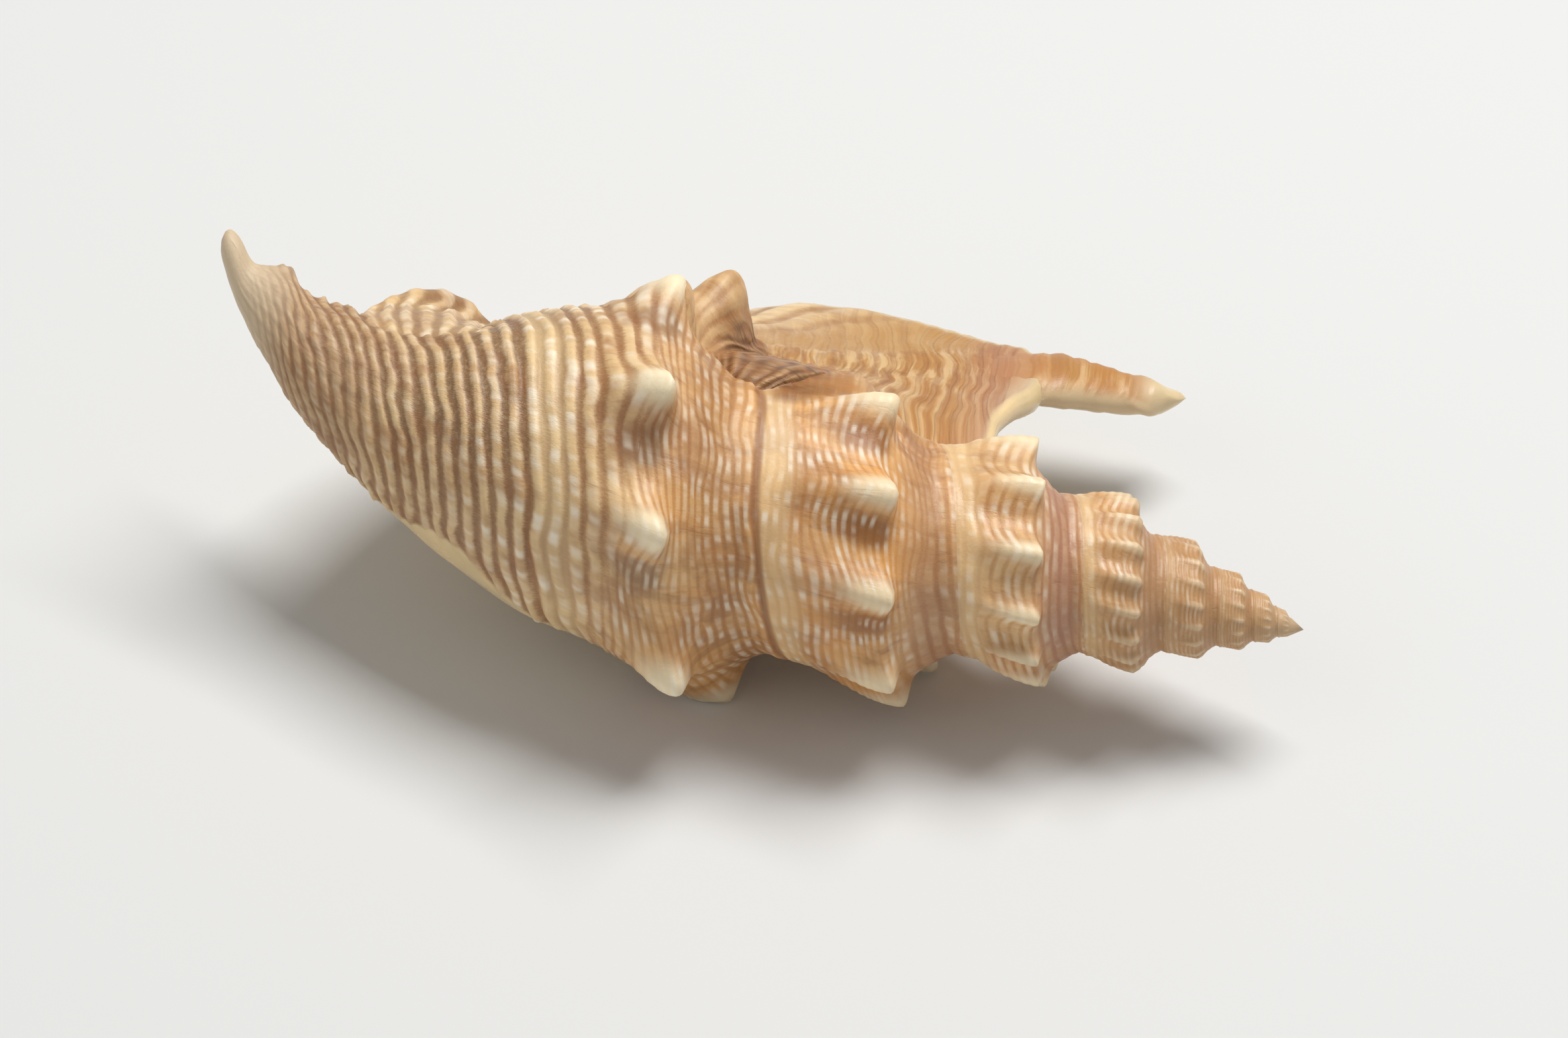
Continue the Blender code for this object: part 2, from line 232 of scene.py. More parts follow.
@dataclass(frozen=True)
class Lie:
    """How the shell lies: slope of its axis, turn of its left side, trim onto its supports, and place."""

    axis_slope: float = math.radians(12.4)
    side_lift: float = math.radians(38.0)
    roll: float = math.radians(-4.2)
    pitch: float = math.radians(-3.8)
    place: tuple[float, float, float] = (67.98185, -25.78027, 16.93437)

    def trim(self) -> Array:
        """Rotation that seats the shell on its lip and knobs."""
        return np.array(Matrix.Rotation(self.pitch, 3, "Y") @ Matrix.Rotation(self.roll, 3, "X"))

    def view_axes(self) -> Array:
        """Right, rise and front of the shell's broad left side.

        Returns:
            The three directions as rows, in the resting shell's directions.
        """
        lift = self.side_lift
        level = np.array([
            [1.0, 0.0, 0.0],
            [0.0, math.sin(lift), math.cos(lift)],
            [0.0, -math.cos(lift), math.sin(lift)],
        ])
        return level @ self.trim().T

    def laid_down(self, points: Array) -> Array:
        """Lays the shell down.

        Args:
            points: (along, left, up) in millimetres.

        Returns:
            Their places in the resting shell, in metres.
        """
        right, rise, front = self.view_axes()
        along = -math.cos(self.axis_slope) * right + math.sin(self.axis_slope) * rise
        above = math.sin(self.axis_slope) * right + math.cos(self.axis_slope) * rise
        return (points @ np.array([along, front, above]) + np.array(self.place)) * MM


@dataclass(frozen=True)
class Coil:
    """The coiled wall: spire, body whorl and canal, with its knobs and its open side under the lip."""

    apex_turn: float = 0.917
    apex_scale: float = 2.42
    growth_per_turn: float = 0.417
    body_turn: float = 9.152
    body_start: float = 72.75
    body_pitch: float = 28.8
    canal_squeeze: float = 0.2076
    tip_turn: float = 12.0
    last_suture: int = 9
    seam_angle: float = 129.3
    radius: Pairs = (
        (0.0, 0.0), (2.6, 1.6), (7.0, 3.6), (11.4, 5.2), (18.4, 7.6), (28.1, 10.0), (45.1, 13.7),
        (67.4, 18.0), (80.0, 19.9), (92.4, 19.4), (105.3, 15.9), (113.5, 12.0), (120.6, 9.4), (128.4, 6.6),
        (132.1, 5.6), (134.6, 4.5), (137.0, 3.3), (138.8, 3.0), (140.2, 2.2), (140.9, 1.2), (141.1, 0.0),
    )
    canal_rise: Pairs = (
        (0.0, 0.0), (28.0, 0.0), (40.0, -0.3), (52.0, -1.2), (70.0, -1.3), (85.0, -0.3), (92.4, 0.3),
        (105.3, 1.7), (113.5, 2.2), (120.6, 4.1), (128.4, 7.1), (132.1, 10.2), (134.6, 11.7),
        (137.0, 13.5), (138.8, 15.9), (140.3, 17.7), (141.1, 18.3),
    )
    canal_flatness: Pairs = (
        (0.0, 1.0), (105.0, 1.0), (113.0, 0.9), (121.0, 0.8), (130.0, 0.72), (141.1, 0.8),
    )
    crest: float = 0.47
    crest_start: float = 0.08
    crest_bend: float = 1.7
    angularity: float = 0.8
    rounding: Span = (60.0, 82.0)
    suture_level: float = 0.96
    suture_settling: Span = (0.1, 0.9)
    ramp_dip: float = 0.05
    ramp_rise: Span = (0.0, 0.12)
    ramp_fall: Span = (0.14, 0.32)
    swell: Pairs = (
        (0.0, 0.14), (15.0, 0.17), (27.0, 0.19), (40.0, 0.16), (55.0, 0.17), (70.0, 0.15), (90.0, 0.11),
    )
    body_knobs: tuple[float, ...] = (-200.0, -155.0, -110.0, -61.0, -10.0, 28.0, 85.0, 128.0, 175.0)
    spire_knobs: tuple[float, ...] = (
        -796.0, -772.0, -744.0, -712.0, -676.0, -637.0, -603.0, -568.0, -532.0, -495.0,
        -455.0, -422.0, -378.0, -341.0, -302.0, -270.0, -233.0,
    )
    fine_knob_step: float = 23.0
    fine_knob_count: int = 90
    knob_height: Pairs = (
        (0.0, 0.0), (6.0, 0.12), (15.0, 0.4), (24.0, 1.2), (35.0, 2.4), (53.0, 3.6), (70.0, 4.4),
        (83.0, 5.4), (95.0, 6.0),
    )
    knob_strength: Pairs = (
        (-3000.0, 1.0), (-530.0, 1.0), (-492.0, 1.5), (-455.0, 1.0), (-240.0, 1.0), (-215.0, 0.2),
        (-180.0, 0.2), (-150.0, 0.8), (-110.0, 1.0), (-61.0, 1.0), (-10.0, 1.25), (28.0, 1.25),
        (60.0, 1.0), (200.0, 1.0),
    )
    knob_place: Pairs = (
        (-3000.0, 0.40), (-1200.0, 0.40), (-1000.0, 0.43), (-740.0, 0.48), (-380.0, 0.47), (-170.0, 0.40),
        (-110.0, 0.37), (-61.0, 0.44), (-10.0, 0.52), (28.0, 0.51), (85.0, 0.40), (200.0, 0.38),
    )
    knob_width: Pairs = (
        (-90.0, 0.22), (-61.0, 0.21), (-10.0, 0.18), (28.0, 0.17), (85.0, 0.2), (128.0, 0.22),
    )
    knob_sharpness: Span = (1.7, 1.8)
    knob_rear: Pairs = ((0.0, 0.07), (60.0, 0.075), (84.0, 0.095))
    knob_front: Pairs = ((0.0, 0.4), (35.0, 0.46), (53.0, 0.34), (70.0, 0.24), (84.0, 0.19), (92.0, 0.14))
    knob_lean: Pairs = ((0.0, 0.5), (60.0, 0.6), (84.0, 0.4))
    knob_reach: tuple[Span, Span] = ((0.0, 0.1), (0.8, 1.0))
    knob_end: Span = (96.0, 126.0)
    lip_knob_end: Span = (90.0, 105.0)
    slide: Pairs = (
        (-90.0, 0.0), (-40.0, -0.8), (0.0, -1.2), (30.0, -0.2), (57.0, 1.1), (88.0, 1.3), (122.0, 0.0),
    )
    slide_width: float = 0.22
    mantle_edge: Pairs = (
        (40.0, 92.0), (46.0, 85.0), (51.0, 77.0), (54.0, 67.0), (60.0, 63.0), (68.0, 57.0), (74.0, 56.0),
    )
    mantle_softness: float = 2.0
    mantle_end: Span = (-225.0, -195.0)
    mantle_across: tuple[Span, Span] = ((0.0, 0.12), (0.88, 1.0))
    mantle_height: float = 0.7
    mantle_smoothing: float = 0.85
    top_trim: Pairs = ((88.0, 0.0), (94.0, 1.0), (104.0, 1.0), (113.0, 0.0))
    top_angle: Span = (82.0, 32.0)
    lip_bed: Pairs = ((103.0, 0.0), (109.0, 1.7), (118.0, 1.7), (124.0, 0.0))
    lip_bed_angle: Span = (50.0, 76.0)
    aperture_around: tuple[Span, Span] = ((100.0, 128.0), (178.0, 252.0))
    aperture_along: tuple[Span, Span] = ((62.0, 78.0), (126.0, 139.0))
    aperture_depth: float = 0.52

    def axial_distance(self, turn: Array) -> Array:
        """Distance along the axis from the apex.

        Args:
            turn: turn numbers.

        Returns:
            Distances, which grow like a spiral on the spire and almost evenly on the body whorl.
        """
        grown = self.growth_per_turn * (np.minimum(turn, self.body_turn) - self.apex_turn)
        spire = self.apex_scale * (np.exp(grown) - 1.0)
        past = np.clip(turn, self.body_turn, self.tip_turn) - self.body_turn
        body = self.body_start + self.body_pitch * past - self.canal_squeeze * past**4
        return np.where(turn < self.body_turn, np.maximum(spire, 0.0), body)

    def turn_at(self, distance: Array) -> Array:
        """Turn number for a distance along the axis."""
        turns = np.linspace(self.apex_turn, self.tip_turn, 2000)
        return np.interp(distance, self.axial_distance(turns), turns)

    def knob_angles(self) -> Array:
        """Growth angles of all knobs, from the fine ones by the apex to those of the body whorl."""
        fine = self.spire_knobs[0] - self.fine_knob_step * np.arange(self.fine_knob_count, 0, -1)
        return np.concatenate([fine, self.spire_knobs, self.body_knobs])

    def knob_shape(self, growth: Array, place: Array, distance: Array) -> Array:
        """Outline of the knobs.

        Args:
            growth: growth angles in degrees, 0 at the start of the last whorl.
            place: places across the whorl, from 0 at one suture to 1 at the next.
            distance: distances along the axis.

        Returns:
            Values from 0 between the knobs to 1 on their tips.
        """
        angles = self.knob_angles()
        count = np.interp(growth, angles, np.arange(len(angles)))
        sharp_across, sharp_along = self.knob_sharpness
        wide = follow(growth, self.knob_width)
        across = np.exp(-(np.abs((count - np.round(count)) / wide) ** sharp_across))
        past = place - follow(growth, self.knob_place)
        reach = np.where(past < 0.0, follow(distance, self.knob_rear), follow(distance, self.knob_front))
        along = np.exp(-(np.abs(past / reach) ** sharp_along))
        rise, fall = self.knob_reach
        return across * along * blend(place, *rise) * (1.0 - blend(place, *fall))

    def whorl_level(self, place: Array, distance: Array) -> Array:
        """Section of a whorl between two sutures.

        Args:
            place: places across the whorl.
            distance: distances along the axis.

        Returns:
            Height over the plain cone as a fraction of its radius.
        """
        angular = self.angularity * (1.0 - blend(distance, *self.rounding))
        before = np.clip((place - self.crest_start) / (self.crest - self.crest_start), 0.0, 1.0)
        after = np.clip((place - self.crest) / (1.0 - self.crest), 0.0, 1.0)
        rise = blend(before, 0.0, 1.0) * (1.0 - angular) + before**self.crest_bend * angular
        fall = 1.0 - blend(after, 0.0, 1.0) * (1.0 - angular) - after * angular
        dip = self.ramp_dip * blend(place, *self.ramp_rise) * (1.0 - blend(place, *self.ramp_fall))
        return follow(distance, self.swell) * rise * fall - dip

    def locate(self, turn: Array, angle: Array, lip_side: bool) -> tuple[Array, Array, Array, Array]:
        """Finds where points of the wall lie on their whorl.

        Args:
            turn: turn numbers.
            angle: angles round the axis in degrees.
            lip_side: whether the points follow the lip, past the seam of the wall.

        Returns:
            The wrapped angle, whether it is the body whorl, the place across the whorl and the growth angle.
        """
        wrapped = angle if lip_side else self.seam_angle - np.mod(self.seam_angle - angle, FULL_TURN)
        past_suture = np.round(turn - wrapped / FULL_TURN, 9)
        in_body = past_suture >= self.last_suture
        place = np.where(in_body, past_suture - self.last_suture, np.mod(past_suture, 1.0))
        whorl = np.where(in_body, self.last_suture, np.floor(past_suture))
        return wrapped, in_body, place, self.growth_angle(whorl, wrapped)

    def growth_angle(self, whorl: Array, wrapped: Array) -> Array:
        """Angle grown since the start of the last whorl, in degrees."""
        return (whorl - self.last_suture) * FULL_TURN + wrapped

    def suture_slide(self, turn: Array, wrapped: Array) -> Array:
        """How far the last suture climbs the spire towards the lip, taking the wall near it along."""
        past = turn - wrapped / FULL_TURN - self.last_suture
        return follow(wrapped, self.slide) * bell(past, 0.0, self.slide_width)

    def mantle(self, growth: Array, place: Array, distance: Array) -> Array:
        """Mask of the lip's foot, which covers the top of the last spire whorl.

        Args:
            growth: growth angles in degrees.
            place: places across the whorl.
            distance: distances along the axis.

        Returns:
            Values from 0 on the open wall to 1 under the foot.
        """
        edge = follow(distance, self.mantle_edge) - FULL_TURN
        reach = window(growth, (edge - self.mantle_softness, edge + self.mantle_softness), self.mantle_end)
        rise, fall = self.mantle_across
        return reach * blend(place, *rise) * (1.0 - blend(place, *fall))

    def wall(self, turn: Array, angle: Array, lip_side: bool = False) -> tuple[Array, Array, Array]:
        """Shape of the wall without its fine relief.

        Args:
            turn: turn numbers.
            angle: angles round the axis in degrees.
            lip_side: whether the points follow the lip, past the seam of the wall.

        Returns:
            Axial distance, radius and knob outline of each point.
        """
        distance = self.axial_distance(turn)
        wrapped, in_body, place, growth = self.locate(turn, angle, lip_side)
        if lip_side:
            fade = np.ones_like(distance)
        else:
            distance = distance - self.suture_slide(turn, wrapped)
            fade = np.where(in_body, 1.0 - blend(wrapped, *self.knob_end), 1.0)
        settle = np.where(in_body, blend(place, *self.suture_settling), 0.0)
        level = self.suture_level + (1.0 - self.suture_level) * settle
        radius = follow(distance, self.radius) * (level + self.whorl_level(place, distance) * fade)
        shape = self.knob_shape(growth, place, distance) * fade
        radius = radius - follow(distance, self.top_trim) * bell(wrapped, *self.top_angle)
        mantle = np.zeros_like(distance)
        if lip_side:
            shape = shape * (1.0 - blend(angle, *self.lip_knob_end))
        else:
            radius = radius - follow(distance, self.lip_bed) * blend(wrapped, *self.lip_bed_angle) * in_body
            mantle = self.mantle(growth, place, distance)
            shape = shape * (1.0 - self.mantle_smoothing * mantle)
        knob = follow(distance, self.knob_height) * follow(growth, self.knob_strength) * shape
        leant = distance - follow(distance, self.knob_lean) * knob
        return leant, radius + knob + self.mantle_height * mantle, shape

    def sink(self, angle: Array, distance: Array) -> Array:
        """Factor for the radius, which lowers the wall under the lip, so that the aperture stays open."""
        hollow = window(np.mod(angle, FULL_TURN), *self.aperture_around)
        return 1.0 - self.aperture_depth * hollow * window(distance, *self.aperture_along)

    def place_points(self, distance: Array, radius: Array, angle: Array) -> Array:
        """Places points round the axis, which rises along the canal.

        Args:
            distance: distances along the axis.
            radius: distances from the axis.
            angle: angles round the axis in degrees.

        Returns:
            The points as (along, left, up).
        """
        radians = np.radians(angle)
        left = radius * np.cos(radians) * follow(distance, self.canal_flatness)
        up = radius * np.sin(radians) + follow(distance, self.canal_rise)
        return channels(distance, left, up)


@dataclass(frozen=True)
class Ribs:
    """The fine relief of the outside: spiral ribs with their beads, growth swellings and sutures."""

    height: Pairs = (
        (0.0, 0.0), (8.0, 0.04), (20.0, 0.08), (35.0, 0.1), (50.0, 0.12), (74.0, 0.15), (84.0, 0.24),
        (89.0, 0.42), (97.0, 0.55), (112.0, 0.52), (120.0, 0.38), (130.0, 0.24), (135.5, 0.06),
        (137.0, 0.0), (141.1, 0.0),
    )
    sharpness: Pairs = (
        (0.0, 1.0), (84.0, 1.0), (90.0, 0.75), (97.0, 0.8), (103.0, 1.6), (120.0, 1.8), (141.1, 1.4),
    )
    doubling: Pairs = ((0.0, 0.0), (45.0, 0.0), (52.0, 1.0), (82.0, 1.0), (88.0, 0.0), (141.1, 0.0))
    wander: float = 0.26
    shared_wander: Wander = Wander(1.0, 0.35, 0.16)
    own_wander: Wander = Wander(0.4, 7.7, 0.4)
    least_strength: float = 0.7
    strength_range: float = 0.6
    beading: float = 0.55
    beads_per_turn: float = 44.0
    own_beads: Wander = Wander(0.75, 5.3, 1.0)
    shared_beads: Wander = Wander(0.45, 0.3, 1.0)
    swelling: Wander = Wander(0.14, 0.12, 0.45, (5.0, 0.0))
    suture_depth: Pairs = ((0.0, 0.0), (10.0, 0.06), (40.0, 0.12), (60.0, 0.22), (72.0, 0.34), (90.0, 0.34))
    suture_width: float = 0.25

    def path(self, rib: Array, grown: Array) -> Array:
        """Rib number with the wandering of the ribs in it."""
        own = self.own_wander.at(np.round(rib), grown)
        return rib + self.wander * (self.shared_wander.at(rib, grown) + own)

    def profile(self, rib: Array, grown: Array, distance: Array) -> Array:
        """Section of the ribs.

        Args:
            rib: rib numbers.
            grown: distances grown along the whorl.
            distance: distances along the axis, which say where the ribs are doubled.

        Returns:
            Values from 0 between the ribs to 1 on their crests.
        """
        path = self.path(rib, grown)
        single = (0.5 + 0.5 * np.cos(2.0 * np.pi * path)) ** follow(distance, self.sharpness)
        double = 0.5 + 0.5 * np.cos(4.0 * np.pi * path)
        return single + (double - single) * follow(distance, self.doubling)

    def beads(self, rib: Array, turns: Array) -> Array:
        """Beads along the ribs, from -1 to 1, partly in step with those of the ribs beside them."""
        count = turns * self.beads_per_turn
        return self.own_beads.at(np.round(rib), count) + self.shared_beads.at(rib, count)

    def relief(self, rib: Array, grown: Array, turns: Array, distance: Array) -> Array:
        """Height of the ribs, with stronger and weaker ribs and beads along them.

        Args:
            rib: rib numbers.
            grown: distances grown along the whorl.
            turns: turns grown.
            distance: distances along the axis.

        Returns:
            Heights in millimetres.
        """
        index = np.round(rib)
        strength = self.least_strength + self.strength_range * scatter(index, np.full_like(index, 3.0))
        lift = 1.0 + self.beading * self.beads(rib, turns)
        return follow(distance, self.height) * strength * lift * self.profile(rib, grown, distance)

    def growth_swelling(self, rib: Array, grown: Array) -> Array:
        """Low swellings that run across the ribs, where growth paused."""
        return self.swelling.at(rib, grown)


@dataclass
class Surface:
    """A grid of points and what each of them carries."""

    points: Array
    ribs: Array
    bands: Array
    layers: dict[Layer, Array]

    def listed(self, values: Array, order: Array) -> Array:
        """Values of the grid as a flat list, in another order of points."""
        size = values.shape[-1]
        return np.broadcast_to(values, (*self.points.shape[:2], size)).reshape(-1, size)[order]


def deselect_all() -> None:
    """Leaves nothing selected, in object mode."""
    if bpy.context.mode != "OBJECT":
        bpy.ops.object.mode_set(mode="OBJECT")
    bpy.ops.object.select_all(action="DESELECT")


def make_active(piece: bpy.types.Object) -> None:
    """Selects one object only and makes it the active one.

    Args:
        piece: the object.
    """
    deselect_all()
    piece.select_set(True)
    bpy.context.view_layer.objects.active = piece


@contextmanager
def editing(piece: bpy.types.Object) -> Iterator[None]:
    """Holds a piece in edit mode while the block under it runs.

    Args:
        piece: the object, which also becomes the active one.

    Yields:
        Nothing.
    """
    make_active(piece)
    bpy.ops.object.mode_set(mode="EDIT")
    yield
    bpy.ops.object.mode_set(mode="OBJECT")


def clear_selection(piece: bpy.types.Object, kind: str) -> None:
    """Leaves no part of a mesh selected.

    Args:
        piece: the mesh object.
        kind: what is selected next, VERT or FACE.
    """
    with editing(piece):
        bpy.ops.mesh.select_mode(type=kind)
        bpy.ops.mesh.select_all(action="DESELECT")


def coordinates(mesh: bpy.types.Mesh) -> Array:
    """Reads the places of the vertices.

    Args:
        mesh: the mesh.

    Returns:
        A row of three for each vertex.
    """
    flat = np.empty(len(mesh.vertices) * 3)
    mesh.vertices.foreach_get("co", flat)
    return flat.reshape(-1, 3)


def numbers(items: bpy.types.bpy_prop_collection, label: str, each: int = 1) -> Array:
    """Whole numbers that the vertices, edges or corners of a mesh hold.

    Args:
        items: the collection of the mesh.
        label: name of the property.
        each: how many numbers an item holds.

    Returns:
        A flat list of them.
    """
    flat = np.empty(len(items) * each, dtype=np.int32)
    items.foreach_get(label, flat)
    return flat


def edge_ends(mesh: bpy.types.Mesh) -> Array:
    """The two vertices of every edge, a row for each."""
    return numbers(mesh.edges, "vertices", 2).reshape(-1, 2)


def shaped_grid(name: str, surface: Surface) -> bpy.types.Object:
    """Adds a grid and moves its points onto a surface.

    Args:
        name: name of the new object.
        surface: points and values, as arrays with two leading grid axes.

    Returns:
        The open sheet, with its UV maps and colour attributes on the face corners.
    """
    down, across = surface.points.shape[:2]
    deselect_all()
    bpy.ops.mesh.primitive_grid_add(
        x_subdivisions=down - 1, y_subdivisions=across - 1, size=2.0, calc_uvs=False,
    )
    piece = bpy.context.object
    piece.name = name
    mesh = piece.data
    at = coordinates(mesh)
    row = np.rint((at[:, 0] + 1.0) / 2.0 * (down - 1)).astype(int)
    column = np.rint((at[:, 1] + 1.0) / 2.0 * (across - 1)).astype(int)
    order = row * across + column
    mesh.vertices.foreach_set("co", surface.listed(surface.points, order).ravel())
    corner = numbers(mesh.loops, "vertex_index")
    for label, values in (("ribs", surface.ribs), ("bands", surface.bands)):
        mesh.uv_layers.new(name=label).data.foreach_set("uv", surface.listed(values, order)[corner].ravel())
    for layer, values in surface.layers.items():
        carried = mesh.attributes.new(layer.value, "FLOAT_COLOR", "CORNER")
        carried.data.foreach_set("color", surface.listed(values, order)[corner].ravel())
    mesh.update()
    return piece


def close_up(piece: bpy.types.Object) -> None:
    """Welds the doubled points of a sheet, so that it closes, and turns its faces out.

    Args:
        piece: the sheet, whose edges lie on one another.
    """
    with editing(piece):
        bpy.ops.mesh.select_all(action="SELECT")
        bpy.ops.mesh.remove_doubles(threshold=WELD)
        bpy.ops.mesh.dissolve_degenerate(threshold=SLIVER)
        bpy.ops.mesh.select_all(action="SELECT")
        bpy.ops.mesh.normals_make_consistent(inside=False)


def thin_out(piece: bpy.types.Object, chosen: Array, keep: float) -> None:
    """Lowers the number of faces where the surface is smooth or out of sight.

    Args:
        piece: the mesh object.
        chosen: True for each vertex that may be merged.
        keep: share of those faces that stays.
    """
    clear_selection(piece, "VERT")
    mesh = piece.data
    mesh.vertices.foreach_set("select", chosen)
    mesh.edges.foreach_set("select", chosen[edge_ends(mesh)].all(axis=1))
    for face in mesh.polygons:
        face.select = all(chosen[vertex] for vertex in face.vertices)
    with editing(piece):
        bpy.ops.mesh.decimate(ratio=keep)


def inner_points(mesh: bpy.types.Mesh, rings: int) -> Array:
    """Finds the vertices away from the border of a sheet.

    Args:
        mesh: the sheet.
        rings: number of rings of edges that count as the border.

    Returns:
        True for each vertex further inside.
    """
    ends = edge_ends(mesh)
    faces = np.bincount(numbers(mesh.loops, "edge_index"), minlength=len(ends))
    near = np.zeros(len(mesh.vertices), dtype=bool)
    near[ends[faces == 1]] = True
    for _ in range(rings):
        near[ends[near[ends].any(axis=1)]] = True
    return ~near


def poke_corners(piece: bpy.types.Object) -> None:
    """Divides the four corner faces of a sheet from their middles, so that no diagonal cuts a corner off.

    Args:
        piece: the sheet.
    """
    clear_selection(piece, "FACE")
    mesh = piece.data
    used = np.bincount(numbers(mesh.loops, "vertex_index"), minlength=len(mesh.vertices))
    for face in mesh.polygons:
        face.select = any(used[vertex] == 1 for vertex in face.vertices)
    with editing(piece):
        bpy.ops.mesh.poke()


@dataclass(frozen=True)
class WallPoints:
    """Where the points of the wall lie, and what covers them."""

    angle: Array
    wrapped: Array
    growth: Array
    turns: Array
    grown: Array
    in_body: Array
    closed: Array
    place: Array
    distance: Array
    radius: Array
    knob: Array
    glaze: Array
    mantle: Array
    groove: Array

    def rib(self) -> Array:
        """Rib number at each point."""
        return RIBS_PER_TURN * self.place


@dataclass(frozen=True)
class CoiledWall:
    """The spire, body whorl and canal as one helical strip whose edges meet turn on turn."""

    coil: Coil
    ribs: Ribs
    lie: Lie
    columns_per_turn: int = 112
    rows_per_turn: int = 72
    first_turn: float = 2.25
    cone_end: float = 80.0
    apex_reach: float = 6.5
    apex_keep: float = 0.35
    strip_rise: Span = (0.0, 0.05)
    strip_fall: Span = (0.95, 1.0)
    rib_bed: float = 0.12
    rib_start: Span = (0.5, 4.0)
    rib_end: Span = (136.0, 139.0)
    swelling_start: Span = (8.0, 50.0)
    worn_knob: Span = (0.55, 0.95)
    knob_smoothing: float = 0.6
    mantle_smoothing: float = 0.7
    glaze_edge: Pairs = (
        (60.0, -190.0), (70.0, -150.0), (78.0, -112.0), (85.4, -90.0), (97.0, -72.0), (101.5, -62.0),
        (107.3, -55.0), (113.5, -78.0), (121.0, -100.0), (130.0, -125.0), (141.1, -150.0),
    )
    glaze_wander: Wander = Wander(3.0, 0.3, 0.11)
    glaze_softness: float = 7.0
    glaze_inside: Span = (98.0, 112.0)
    glaze_start: Span = (62.0, 70.0)
    glaze_height: float = 0.25
    flange_height: Pairs = (
        (117.0, 0.0), (122.0, 0.3), (128.0, 0.5), (130.5, 0.5), (131.6, 1.2), (132.8, 1.6), (133.6, 0.9),
        (135.0, 0.5), (136.5, 0.0),
    )
    flange_angle: Span = (96.0, 13.0)
    flange_jags: Wander = Wander(0.45, 1.1, 0.4)
    dash_strength: Pairs = (
        (0.0, 0.0), (12.0, 0.3), (30.0, 0.6), (60.0, 0.75), (84.0, 0.6), (92.0, 1.0), (100.0, 0.8),
        (110.0, 0.35), (141.1, 0.2),
    )
    dash_ramp: Span = (0.18, 0.14)
    dash_ramp_loss: float = 0.75
    # Painted shade beside each knob: how far it is moved from the knob, where it starts, and how much of the
    # knob itself it leaves out.
    knob_shade_shift: Pairs = ((0.0, 10.0), (50.0, 13.0), (70.0, 14.0), (90.0, 16.0))
    knob_shade_start: Span = (30.0, 50.0)
    knob_shade_tip_cut: float = 0.8
    quiet_end: Span = (50.0, 64.0)
    spire_end: Span = (20.0, 30.0)
    valley_start: Span = (60.0, 69.0)
    warm: Pairs = (
        (0.0, 0.45), (20.0, 0.6), (35.0, 0.5), (45.0, 0.5), (55.0, 0.95), (70.0, 0.85), (82.0, 0.6),
        (90.0, 0.3), (100.0, 0.12), (120.0, 0.1), (141.1, 0.2),
    )
    # Grime along the axis; on the lip the same channel also carries the hollow's painted shade.
    grime_and_shade: Pairs = (
        (0.0, 0.0), (60.0, 0.05), (85.0, 0.15), (95.0, 0.5), (104.0, 0.9), (114.0, 0.85), (122.0, 0.6),
        (132.0, 0.5), (138.0, 0.1), (141.1, 0.0),
    )
    grime_below: float = 0.55
    grime_upper: Span = (-45.0, 25.0)
    pale: Pairs = (
        (0.0, 0.5), (3.0, 0.3), (7.0, 0.0), (129.0, 0.0), (134.0, 0.6), (137.0, 0.9), (141.1, 0.95),
    )
    mauve_ramp: Span = (0.22, 0.18)
    mauve_spire: Span = (29.0, 17.0)
    mauve_canal: Span = (116.0, 126.0)
    mauve_canal_share: float = 0.35

    def grown_length(self, turn: Array) -> Array:
        """Distance grown along the whorl.

        Args:
            turn: turns grown.

        Returns:
            Millimetres from the start of the growth.
        """
        turns = np.linspace(0.0, self.coil.tip_turn + 1.0, 1500)
        middle = self.coil.axial_distance(turns + 0.5)
        around = 2.0 * np.pi * follow(np.minimum(middle, self.cone_end), self.coil.radius)
        return np.interp(turn, turns, np.cumsum(around * (turns[1] - turns[0])))

    def glaze(self, wrapped: Array, in_body: Array, distance: Array) -> Array:
        """Mask of the glossy callus on the underside and in the aperture.

        Args:
            wrapped: angles round the axis.
            in_body: True on the body whorl.
            distance: distances along the axis.

        Returns:
            Values from 0 on the ribbed wall to 1 on the callus.
        """
        edge = follow(distance, self.glaze_edge) + self.glaze_wander.at(distance, distance)
        under = 1.0 - blend(wrapped, edge - self.glaze_softness, edge)
        inside = blend(wrapped, *self.glaze_inside)
        return np.where(in_body, np.maximum(under, inside), 0.0) * blend(distance, *self.glaze_start)

    def located(self, turn: Array, height: Array) -> WallPoints:
        """Finds the points of the strip.

        Args:
            turn: turn number of each point's column.
            height: turn number of each point, held at the strip's first and last turn.

        Returns:
            What the relief and the layers need to know of the points.
        """
        coil = self.coil
        angle = turn * FULL_TURN
        wrapped, in_body, place, _ = coil.locate(height, angle, False)
        distance, radius, knob = coil.wall(height, angle)
        start, stop = height <= self.first_turn, height >= coil.tip_turn
        distance = np.where(start, 0.0, distance)
        distance = np.where(stop, coil.axial_distance(np.array(coil.tip_turn)), distance)
        whorl = np.rint(turn - wrapped / FULL_TURN)
        growth = coil.growth_angle(whorl, wrapped)
        turns = np.where(whorl >= coil.last_suture, coil.last_suture + wrapped / FULL_TURN, turn)
        near_suture = np.where(in_body, place, np.minimum(place, 1.0 - place)) * RIBS_PER_TURN
        return WallPoints(
            angle=angle,
            wrapped=wrapped,
            growth=growth,
            turns=turns,
            grown=self.grown_length(turns),
            in_body=in_body,
            closed=start | stop,
            place=place,
            distance=distance,
            radius=radius,
            knob=knob,
            glaze=self.glaze(wrapped, in_body, distance),
            mantle=coil.mantle(growth, place, distance),
            groove=bell(near_suture, 0.0, self.ribs.suture_width),
        )

